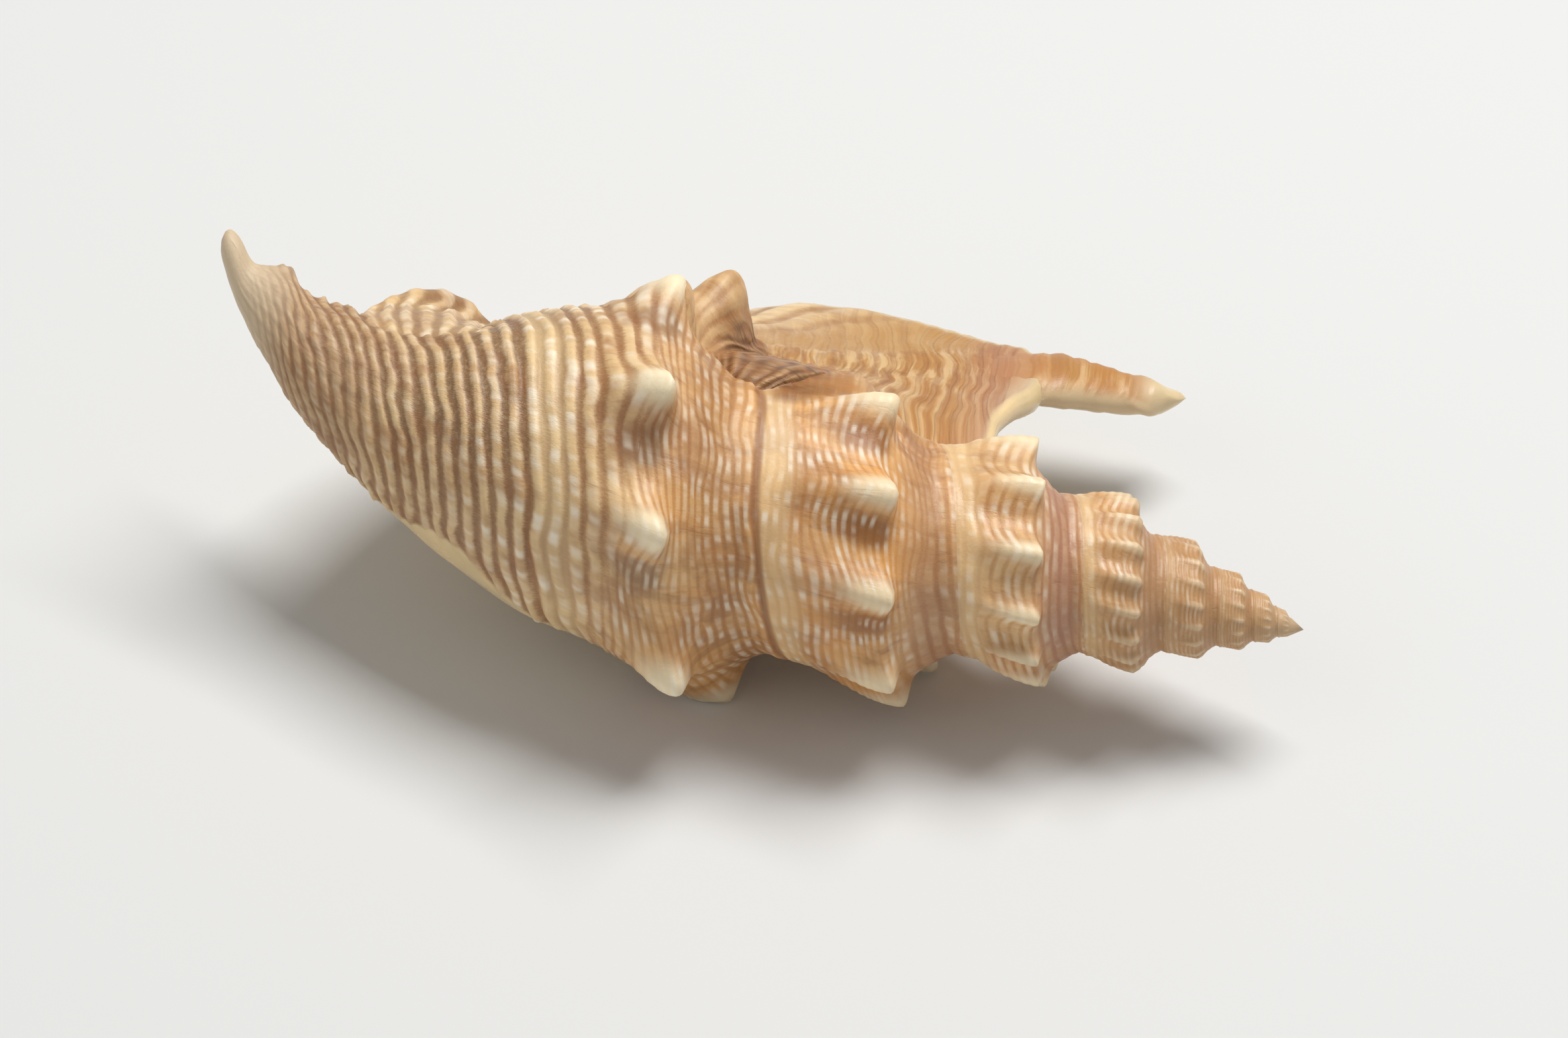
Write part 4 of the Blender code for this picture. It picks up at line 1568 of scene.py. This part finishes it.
class Bench:
    """Adds nodes to one node tree and links them."""

    def __init__(self, tree: bpy.types.NodeTree) -> None:
        """Works on the node tree of a material."""
        self.tree = tree

    def add(self, kind: str, *sources: object, **settings: object) -> bpy.types.Node:
        """Adds a node.

        Args:
            kind: the node's type.
            sources: values or sockets for its inputs in order, None to leave one as it is.
            settings: properties of the node.

        Returns:
            The new node.
        """
        node = self.tree.nodes.new(kind)
        for label, value in settings.items():
            setattr(node, label, value)
        for socket, source in zip(node.inputs, sources):
            self.feed(socket, source)
        return node

    def feed(self, socket: Socket, source: object) -> None:
        """Links a socket to a source, or sets its value.

        Args:
            socket: an input.
            source: a socket, a value, or None to leave the input as it is.
        """
        if isinstance(source, bpy.types.NodeSocket):
            self.tree.links.new(source, socket)
        elif source is not None:
            socket.default_value = source

    def maths(self, operation: str, *sources: object) -> Socket:
        """Result of a Math node."""
        return self.add("ShaderNodeMath", *sources, operation=operation).outputs[0]

    def total(self, first: object, second: object) -> Socket:
        """Sum of two values."""
        return self.maths("ADD", first, second)

    def product(self, *factors: object) -> Socket:
        """Product of values and masks, taken in their order."""
        return reduce(partial(self.maths, "MULTIPLY"), factors)

    def line(self, value: object, slope: float, offset: object) -> Socket:
        """A value times a slope, plus an offset."""
        return self.maths("MULTIPLY_ADD", value, slope, offset)

    def dimmed(self, value: object, *losses: tuple[Socket, float]) -> Socket:
        """A value that loses a share of itself under each of some masks."""
        return self.product(value, *(self.line(mask, -loss, 1.0) for mask, loss in losses))

    def ripple(self, value: object, waves: float, height: float = 0.5) -> Socket:
        """Waves between 0 and 1 over a coordinate, some to a unit, turned over by a negative height."""
        return self.line(self.maths("COSINE", self.product(value, 2.0 * math.pi * waves)), height, 0.5)

    def step(
        self, value: object, low: float, high: float, bottom: object = 0.0, top: object = 1.0
    ) -> Socket:
        """Smooth step of a value from a bottom to a top."""
        sources = (value, low, high, bottom, top)
        return self.add("ShaderNodeMapRange", *sources, interpolation_type="SMOOTHSTEP").outputs[0]

    def noise(self, vector: object, scale: float, detail: float, rough: float) -> Socket:
        """Noise over a vector.

        Args:
            vector: where to read it.
            scale: humps in a unit.
            detail: octaves of finer noise.
            rough: share of each next octave.

        Returns:
            A value from 0 to 1.
        """
        node = self.add("ShaderNodeTexNoise")
        settings = {"Vector": vector, "Scale": scale, "Detail": detail, "Roughness": rough}
        for label, source in settings.items():
            self.feed(node.inputs[label], source)
        return node.outputs[0]

    def grain(self, place: Socket, grain: Grain) -> Socket:
        """Noise through the shell."""
        return self.noise(place, grain.scale, grain.detail, grain.rough)

    def streaks(self, first: Socket, second: Socket, streaks: Streaks) -> Socket:
        """Noise stretched over the surface.

        Args:
            first: one coordinate.
            second: the other one.
            streaks: how the noise is stretched along them.

        Returns:
            A value from 0 to 1.
        """
        scaled = (self.product(first, streaks.first), self.product(second, streaks.second), 0.0)
        vector = self.add("ShaderNodeCombineXYZ", *scaled).outputs[0]
        return self.noise(vector, 1.0, streaks.detail, streaks.rough)

    def mix(self, share: object, base: object, over: object) -> Socket:
        """Colour between two.

        Args:
            share: share of the second colour, from 0 to 1.
            base: first colour or its socket.
            over: second colour or its socket.

        Returns:
            The mixed colour.
        """
        node = self.add("ShaderNodeMix", data_type="RGBA", clamp_factor=True)
        self.feed(node.inputs["Factor"], share)
        for socket, colour in ((node.inputs[6], base), (node.inputs[7], over)):
            self.feed(socket, (*colour, 1.0) if isinstance(colour, tuple) else colour)
        return node.outputs[2]

    def coated(self, colour: object, *coats: tuple[object, object]) -> Socket:
        """Lays coats over a colour.

        Args:
            colour: the colour under them all.
            coats: a share and a colour each, the last on top.

        Returns:
            The colour that shows.
        """
        for share, over in coats:
            colour = self.mix(share, colour, over)
        return colour

    def coordinates(self, name: str) -> tuple[Socket, Socket]:
        """The two coordinates of a UV map."""
        source = self.add("ShaderNodeUVMap", uv_map=name).outputs[0]
        return tuple(self.add("ShaderNodeSeparateXYZ", source).outputs[:2])

    def layer(self, layer: Layer) -> tuple[Socket, Socket, Socket, Socket]:
        """Reads a colour attribute.

        Args:
            layer: which one.

        Returns:
            Its four channels.
        """
        node = self.add("ShaderNodeAttribute", attribute_name=layer.value)
        parts = self.add("ShaderNodeSeparateColor", node.outputs["Color"]).outputs
        return (*parts, node.outputs["Alpha"])


def linear(red: int, green: int, blue: int) -> Colour:
    """Scene colour of a screen colour.

    Args:
        red: from 0 to 255.
        green: from 0 to 255.
        blue: from 0 to 255.

    Returns:
        The same colour in the scene's own even steps.
    """
    def channel(value: int) -> float:
        """One channel by the screen's standard curve."""
        share = value / 255.0
        return share / 12.92 if share <= 0.04045 else ((share + 0.055) / 1.055) ** 2.4

    return channel(red), channel(green), channel(blue)


@dataclass(frozen=True)
class ShellFinish:
    """Weathered ribbed shell, cream and brown outside, with a glossy ivory glaze in the aperture.

    A ramp is two values between which a pattern sets in and, where they aren't 0 and 1, its start and end.
    A trend is a slope and an offset.
    """

    cream: Colour = linear(244, 214, 162)
    tan: Colour = linear(200, 156, 108)
    orange: Colour = linear(232, 164, 88)
    brown: Colour = linear(156, 100, 54)
    umber: Colour = linear(108, 64, 28)
    dash: Colour = linear(255, 244, 222)
    mauve: Colour = linear(182, 130, 108)
    # Colour of the painted shade beside the knobs on the body.
    mauve_grey: Colour = linear(150, 114, 84)
    knob: Colour = linear(255, 238, 200)
    ivory: Colour = linear(228, 202, 152)
    apex: Colour = linear(186, 142, 98)
    dirt: Colour = linear(132, 104, 74)
    # Dark brown over the canal: partly the canal's own colour, partly painted shade.
    canal_shade_brown: Colour = linear(128, 88, 58)
    smear: Colour = linear(150, 96, 56)
    dust: Colour = linear(178, 150, 114)
    honey: Colour = linear(196, 148, 86)
    sand: Colour = linear(186, 134, 70)
    amber: Colour = linear(190, 128, 62)
    pale: Colour = linear(222, 202, 168)
    mottle_grain: Grain = Grain(110.0, 4.0, 0.6)
    cloud_grain: Grain = Grain(45.0, 3.0, 0.55)
    dusting_grain: Grain = Grain(1300.0, 3.0, 0.6)
    grit_grain: Grain = Grain(1700.0, 3.0, 0.65)
    flame_streaks: Streaks = Streaks(0.2, 0.34, 4.0, 0.62)
    line_streaks: Streaks = Streaks(0.5, 1.7, 3.0, 0.6)
    speck_streaks: Streaks = Streaks(5.0, 4.0, 2.0, 0.7)
    smear_streaks: Streaks = Streaks(0.33, 0.13, 3.0, 0.6)
    stain_streaks: Streaks = Streaks(0.5, 0.8, 3.0, 0.6)
    stroke_streaks: Streaks = Streaks(1.15, 0.45, 3.0, 0.65)
    own_spots: Streaks = Streaks(7.3, 0.5, 1.0, 0.5)
    shared_spots: Streaks = Streaks(0.45, 0.5, 1.0, 0.5)
    canal: Ramp = (57.0, 62.0)
    mottled: Ramp = (0.3, 0.7)
    growth_lines: Ramp = (0.55, 0.72)
    growth_flames: Ramp = (0.42, 0.6)
    sheen: Ramp = (0.15, 0.75)
    band_line: Ramp = (0.5, 1.0)
    flame_wear: float = 1.1
    speck_wear: Trend = (0.8, -0.95)
    grime_wear: float = -0.4
    canal_wear: float = 0.15
    crest: Ramp = (-0.2, 0.62)
    pallor: Ramp = (0.36, 0.62)
    warm_pallor: Trend = (-0.35, 0.55)
    canal_pallor_loss: float = 0.5
    flames: Ramp = (0.47, 0.66)
    warm_flames: Trend = (0.3, 0.3)
    clouds: Ramp = (0.5, 0.66, 0.0, 0.3)
    shoulder_start: Ramp = (0.2, 1.4)
    shoulder_end: Ramp = (2.0, 4.6, 1.0, 0.0)
    shoulder_share: float = 0.5
    mauve_mottle: Ramp = (0.35, 0.6, 0.45, 0.85)
    # How far the painted shade beside the knobs darkens the ground.
    knob_shade: Ramp = (0.1, 0.7, 0.0, 0.85)
    groove_shade: Trend = (-0.48, 0.68)
    groove_mottle: Ramp = (0.3, 0.7, 1.15, 0.7)
    groove_canal_loss: float = 0.1
    groove_quiet_loss: float = 0.6
    dirt_share: float = 0.85
    dust_grit: Ramp = (0.5, 0.64, 0.0, 0.6)
    umber_grit: Ramp = (0.34, 0.46, 0.35, 0.0)
    ridge_light: Trend = (-0.62, 0.85)
    # Cream that the crests keep in the painted shade beside the knobs.
    ridge_knob_shade: Ramp = (0.1, 0.8, 1.0, 0.35)
    ridge_flame: Ramp = (0.3, 0.65, 1.1, 0.55)
    ridge_quiet_loss: float = 0.45
    ridge_fine_loss: float = 0.3
    ridge_grime_loss: float = 0.35
    ridge_canal_loss: float = 0.15
    smears: Ramp = (0.46, 0.62)
    quiet_smears: Trend = (-0.3, 0.45)
    warm_growth: Trend = (0.2, 0.2)
    canal_growth: float = 0.35
    canal_shade_share: float = 0.3
    edge_start: Ramp = (9.8, 10.8)
    edge_end: Ramp = (11.9, 12.4, 1.0, 0.0)
    edge_share: float = 0.45
    quiet_mauve: float = 0.4
    apex_share: float = 0.7
    knob_wear: Ramp = (0.32, 0.85, 0.0, 0.9)
    knob_quiet_loss: float = 0.2
    knob_spire_loss: float = 0.5
    valley_share: float = 0.85
    suture: Ramp = (0.1, 0.9)
    quiet_suture: Trend = (-0.6, 0.8)
    pale_mauve: float = 0.3
    spot_halving: Ramp = (0.4, 0.6)
    spots: Ramp = (0.43, 0.7, 0.0, 0.9)
    spot_width: Ramp = (0.1, 0.95)
    band_shade: Ramp = (0.1, 1.0, 0.0, 0.4)
    pale_strokes: Ramp = (0.56, 0.4, 0.0, 0.6)
    dark_strokes: Ramp = (0.52, 0.66, 0.0, 0.6)
    line_stains: Ramp = (0.38, 0.6, 0.0, 0.55)
    line_warmth: Ramp = (0.4, 0.85, 1.0, 0.12)
    amber_mottle: Ramp = (0.35, 0.6, 0.3, 0.9)
    honey_share: float = 0.75
    valley_flame: Ramp = (0.4, 0.62)
    thread_lines: Ramp = (0.35, 0.6, 0.2, 0.7)
    threads_per_rib: float = 3.0
    roughness: float = 0.46
    roughness_mottle: Span = (-0.07, 0.1)
    glaze_roughness: float = 0.2
    relief: float = 0.0003
    relief_strength: float = 0.7
    growth_relief: float = -0.12
    dusting_relief: float = 0.3
    speck_relief: float = 0.5
    line_relief: Ramp = (0.4, 0.85, -0.7, -0.1)
    thread_relief: float = 0.8
    sheen_smoothing: float = 0.92
    name: str = "shell"

    def build(self) -> bpy.types.Material:
        """Builds the material.

        Returns:
            The finished material.
        """
        material = bpy.data.materials.new(self.name)
        material.use_nodes = True
        shader = material.node_tree.nodes["Principled BSDF"]
        paint = ShellPaint(material.node_tree, self)
        paint.feed(shader.inputs["Base Color"], paint.colour())
        paint.feed(shader.inputs["Roughness"], paint.gloss())
        bump = paint.add("ShaderNodeBump")
        paint.feed(bump.inputs["Strength"], self.relief_strength)
        paint.feed(bump.inputs["Distance"], self.relief)
        paint.feed(bump.inputs["Height"], paint.height())
        paint.feed(shader.inputs["Normal"], bump.outputs[0])
        return material


class ShellPaint(Bench):
    """The shell's patterns and coats: a bench that has read the skin's maps and layers."""

    def __init__(self, tree: bpy.types.NodeTree, look: ShellFinish) -> None:
        """Reads the skin, and makes the patterns that several coats use.

        Args:
            tree: node tree of the shell's material.
            look: its colours, ramps and shares.
        """
        super().__init__(tree)
        self.look = look
        place = self.add("ShaderNodeTexCoord").outputs["Object"]
        self.path, self.grown = self.coordinates("ribs")
        self.band, _ = self.coordinates("bands")
        self.knob, self.glaze, self.grime_and_shade, self.banded = self.layer(Layer.WEAR)
        self.warm, self.mauve, self.pale, self.spire = self.layer(Layer.TINT)
        self.dash, self.suture, self.valley, self.beyond = self.layer(Layer.MARKS)
        self.fine_ribs, self.knob_shade, self.body, self.quiet = self.layer(Layer.KIND)
        single, double = (self.ripple(self.path, waves) for waves in (1.0, 2.0))
        self.wave = self.step(self.fine_ribs, 0.0, 1.0, single, double)
        self.far = self.step(self.band, *look.canal)
        self.mottle = self.grain(place, look.mottle_grain)
        self.cloud = self.grain(place, look.cloud_grain)
        self.dusting = self.grain(place, look.dusting_grain)
        self.grit = self.grain(place, look.grit_grain)
        self.flame = self.streaks(self.path, self.grown, look.flame_streaks)
        self.lines = self.streaks(self.path, self.grown, look.line_streaks)
        self.specks = self.streaks(self.path, self.grown, look.speck_streaks)
        grown_lines = self.step(self.lines, *look.growth_lines)
        self.growth = self.product(grown_lines, self.step(self.flame, *look.growth_flames))
        self.sheen = self.step(self.glaze, *look.sheen)
        self.band_lines = self.step(self.ripple(self.band, 1.0, -0.5), *look.band_line)

    def colour(self) -> Socket:
        """Colour of the whole skin, from the ribs up to the glaze.

        Returns:
            The colour.
        """
        look = self.look
        ground = self.ground()
        crests = self.mix(self.crests(), self.grooves(ground), self.ridges(ground))
        smears = self.step(self.streaks(self.path, self.grown, look.smear_streaks), *look.smears)
        growth = self.line(self.far, look.canal_growth, self.line(self.warm, *look.warm_growth))
        edge = (self.step(self.path, *ramp) for ramp in (look.edge_start, look.edge_end))
        knobs = self.step(self.knob, *look.knob_wear)
        knobs = self.dimmed(knobs, (self.quiet, look.knob_quiet_loss), (self.spire, look.knob_spire_loss))
        sutures = self.step(self.suture, *look.suture)
        glaze = self.mix(self.step(self.mottle, *look.mottled), look.ivory, look.cream)
        return self.coated(
            crests,
            (self.product(smears, self.line(self.quiet, *look.quiet_smears)), look.smear),
            (self.product(self.growth, growth), look.brown),
            # the canal darkened: partly its own browner colour, partly painted shade
            (self.product(self.far, look.canal_shade_share), look.canal_shade_brown),
            (self.product(*edge, look.edge_share), look.cream),
            (self.product(self.mauve, self.quiet, look.quiet_mauve), look.mauve),
            (self.product(self.spire, look.apex_share), look.apex),
            (knobs, look.knob),
            (self.product(self.dash, self.dashes()), look.dash),
            (self.banded, self.wing()),
            # dark hollow by the lip: partly its own brown, partly painted shade
            (self.product(self.valley, look.valley_share), self.hollow()),
            (self.product(sutures, self.line(self.quiet, *look.quiet_suture)), look.smear),
            (self.pale, look.pale),
            (self.product(self.mauve, self.pale, look.pale_mauve), look.mauve),
            (self.sheen, glaze),
        )

    def ground(self) -> Socket:
        """Clouded ground colour under the ribs, darker on the shoulders, with painted shade above the knobs.

        Returns:
            The colour.
        """
        look = self.look
        pallor = self.product(self.step(self.mottle, *look.pallor), self.line(self.warm, *look.warm_pallor))
        flames = self.product(self.step(self.flame, *look.flames), self.line(self.warm, *look.warm_flames))
        shoulder = (self.step(self.path, *ramp) for ramp in (look.shoulder_start, look.shoulder_end))
        return self.coated(
            look.tan,
            (self.warm, look.orange),
            (self.dimmed(pallor, (self.far, look.canal_pallor_loss)), look.cream),
            (flames, look.brown),
            (self.step(self.cloud, *look.clouds), look.mauve),
            (self.product(*shoulder, look.shoulder_share), look.brown),
            (self.product(self.mauve, self.step(self.mottle, *look.mauve_mottle)), look.mauve),
            # painted shade beside the knobs: mauve-grey on the body, brown on the spire
            (self.step(self.knob_shade, *look.knob_shade), self.mix(self.body, look.brown, look.mauve_grey)),
        )

    def crests(self) -> Socket:
        """Mask of the ribs' crests with their worn, uneven edges.

        Returns:
            0 in the grooves and 1 on the crests.
        """
        look = self.look
        wear = self.line(self.flame, look.flame_wear, self.line(self.specks, *look.speck_wear))
        crest = self.total(self.line(self.grime_and_shade, look.grime_wear, self.wave), wear)
        return self.step(self.line(self.far, look.canal_wear, crest), *look.crest)

    def grooves(self, ground: Socket) -> Socket:
        """Brown of the grooves between the ribs, with dirt and grit in them at the front, and on the lip the
        hollow's painted shade.

        Args:
            ground: the ground colour.

        Returns:
            The colour.
        """
        look = self.look
        depth = self.line(self.fine_ribs, *look.groove_shade)
        depth = self.dimmed(depth, (self.far, look.groove_canal_loss), (self.quiet, look.groove_quiet_loss))
        return self.coated(
            ground,
            (self.product(depth, self.step(self.mottle, *look.groove_mottle)), look.brown),
            (self.product(self.grime_and_shade, look.dirt_share), look.dirt),
            (self.product(self.grime_and_shade, self.step(self.grit, *look.dust_grit)), look.dust),
            (self.product(self.grime_and_shade, self.step(self.grit, *look.umber_grit)), look.umber),
        )

    def ridges(self, ground: Socket) -> Socket:
        """Cream of the ribs' crests, less of it in the painted shade beside the knobs.

        Args:
            ground: the ground colour.

        Returns:
            The colour.
        """
        look = self.look
        light = self.product(self.line(self.warm, *look.ridge_light), self.step(self.knob_shade, *look.ridge_knob_shade))
        light = self.dimmed(
            light,
            (self.quiet, look.ridge_quiet_loss),
            (self.fine_ribs, look.ridge_fine_loss),
            (self.grime_and_shade, look.ridge_grime_loss),
            (self.far, look.ridge_canal_loss),
        )
        return self.mix(self.product(light, self.step(self.flame, *look.ridge_flame)), ground, look.cream)

    def dashes(self) -> Socket:
        """Pale dashes along the crests of the ribs, partly in step with those beside them.

        Returns:
            0 between the dashes and up to 1 on them.
        """
        look = self.look
        halves = self.product(self.maths("ROUND", self.product(self.path, 2.0)), 0.5)
        index = self.step(self.fine_ribs, *look.spot_halving, self.maths("ROUND", self.path), halves)
        own = self.streaks(index, self.grown, look.own_spots)
        shared = self.streaks(self.path, self.grown, look.shared_spots)
        value = self.line(shared, 0.5, self.product(own, 0.5))
        return self.product(self.step(value, *look.spots), self.step(self.wave, *look.spot_width))

    def wing(self) -> Socket:
        """Cream growth bands of the lip with thin brown lines between them, and the orange horn.

        Returns:
            The colour.
        """
        look = self.look
        stains = self.streaks(self.band, self.path, look.stain_streaks)
        strokes = self.streaks(self.band, self.path, look.stroke_streaks)
        slope = self.maths("FRACT", self.total(self.band, 0.5))
        lines = self.product(self.band_lines, self.step(stains, *look.line_stains))
        lines = self.product(lines, self.step(self.warm, *look.line_warmth))
        return self.coated(
            look.sand,
            (self.step(slope, *look.band_shade), look.tan),
            (self.step(strokes, *look.pale_strokes), look.cream),
            (self.step(strokes, *look.dark_strokes), look.smear),
            (lines, look.brown),
            (self.product(self.warm, self.step(self.mottle, *look.amber_mottle)), look.amber),
            (self.product(self.beyond, look.honey_share), look.honey),
            (self.mauve, look.mauve),
        )

    def hollow(self) -> Socket:
        """Dark brown of the hollow between the lip and the spire, partly its own colour and partly painted
        shade, with paler threads.

        Returns:
            The colour.
        """
        look = self.look
        colour = self.mix(self.step(self.flame, *look.valley_flame), look.umber, look.brown)
        threads = self.ripple(self.path, look.threads_per_rib)
        shine = self.product(threads, self.step(self.lines, *look.thread_lines), self.body)
        return self.mix(shine, colour, look.tan)

    def gloss(self) -> Socket:
        """Roughness, low on the glaze.

        Returns:
            The roughness.
        """
        look = self.look
        low, high = (look.roughness + change for change in look.roughness_mottle)
        mottled = self.step(self.mottle, *look.mottled, low, high)
        return self.line(self.sheen, look.glaze_roughness - look.roughness, mottled)

    def height(self) -> Socket:
        """Fine relief that is too small for the mesh: growth lines, dust, grit, band lines and threads.

        Returns:
            The height for the bump.
        """
        look = self.look
        lines = self.product(self.band_lines, self.step(self.warm, *look.line_relief), self.banded)
        threads = self.product(self.ripple(self.path, look.threads_per_rib), self.valley)
        height = self.product(self.growth, look.growth_relief)
        for part in (
            self.product(self.dusting, look.dusting_relief),
            self.product(self.specks, self.grime_and_shade, look.speck_relief),
            lines,
            self.product(threads, self.product(self.body, look.thread_relief)),
        ):
            height = self.total(height, part)
        return self.dimmed(height, (self.sheen, look.sheen_smoothing))


@dataclass(frozen=True)
class Studio:
    """Plain pale floor, soft light and a long lens on the shell's broad side."""

    lie: Lie
    centre_right: float = -64.3
    centre_rise: float = 13.7
    view_width: float = 194.0
    camera_distance: float = 1.4
    sensor: float = 36.0
    floor_size: float = 6.0
    floor_colour: Colour = linear(222, 222, 220)
    floor_roughness: float = 0.8
    world_colour: Colour = (1.0, 1.0, 1.0)
    world_strength: float = 0.26
    key_place: tuple[float, float, float] = (0.32, 1.05, 0.55)
    key_size: float = 0.6
    key_power: float = 14.2
    fill_place: tuple[float, float, float] = (-0.8, 0.3, 0.9)
    fill_size: float = 0.9
    fill_power: float = 1.6

    def build(self) -> None:
        """Sets the floor, the lights, the world and the camera."""
        self.floor()
        self.soft_box("key", self.key_place, self.key_size, self.key_power)
        self.soft_box("fill", self.fill_place, self.fill_size, self.fill_power)
        self.world()
        self.camera()

    def floor(self) -> None:
        """Lays the floor."""
        deselect_all()
        bpy.ops.mesh.primitive_plane_add(size=self.floor_size)
        floor = bpy.context.object
        floor.name = "floor"
        material = bpy.data.materials.new("plain_floor")
        material.use_nodes = True
        shader = material.node_tree.nodes["Principled BSDF"]
        shader.inputs["Base Color"].default_value = (*self.floor_colour, 1.0)
        shader.inputs["Roughness"].default_value = self.floor_roughness
        floor.data.materials.append(material)

    def world(self) -> None:
        """Sets the soft light that comes from all round."""
        world = bpy.data.worlds.new("studio")
        world.use_nodes = True
        sky = world.node_tree.nodes["Background"]
        sky.inputs[0].default_value = (*self.world_colour, 1.0)
        sky.inputs[1].default_value = self.world_strength
        bpy.context.scene.world = world
        bpy.context.scene.view_settings.view_transform = "Standard"

    def soft_box(self, name: str, place: tuple[float, float, float], size: float, power: float) -> None:
        """Hangs one square light that looks at the shell.

        Args:
            name: name of the light.
            place: metres to the right, up and to the front, as the broad side is looked at.
            size: its side in metres.
            power: its power in watts.
        """
        lamp = bpy.data.lights.new(name, "AREA")
        lamp.size = size
        lamp.energy = power
        light = bpy.data.objects.new(name, lamp)
        light.location = Vector(np.array(place) @ self.lie.view_axes())
        light.rotation_euler = light.location.to_track_quat("Z", "Y").to_euler()
        bpy.context.scene.collection.objects.link(light)

    def camera(self) -> None:
        """Places the camera square to the shell's broad side."""
        right, rise, front = self.lie.view_axes()
        centre = np.array(self.lie.place) + self.centre_right * right + self.centre_rise * rise
        lens = bpy.data.cameras.new("camera")
        lens.sensor_width = self.sensor
        lens.lens = self.sensor * self.camera_distance / (self.view_width * MM)
        camera = bpy.data.objects.new("camera", lens)
        turn = Matrix(np.array([right, rise, front]).T.tolist()).to_4x4()
        camera.matrix_world = Matrix.Translation(centre * MM + self.camera_distance * front) @ turn
        bpy.context.scene.collection.objects.link(camera)
        bpy.context.scene.camera = camera


def main() -> None:
    """Builds the shell, dresses it and sets the studio."""
    coil, ribs, lie = Coil(), Ribs(), Lie()
    wall = CoiledWall(coil, ribs, lie)
    lip = FlaredLip(coil, ribs, lie)
    skin = Skin(wall, lip, Horn(lip, lie))
    piece = skin.build()
    skin.dress(piece, ShellFinish())
    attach(piece, "root")
    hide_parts("conch_shell")
    LOG.info("%s: %d faces", piece.name, len(piece.data.polygons))
    Studio(lie).build()


if __name__ == "__main__":
    main()
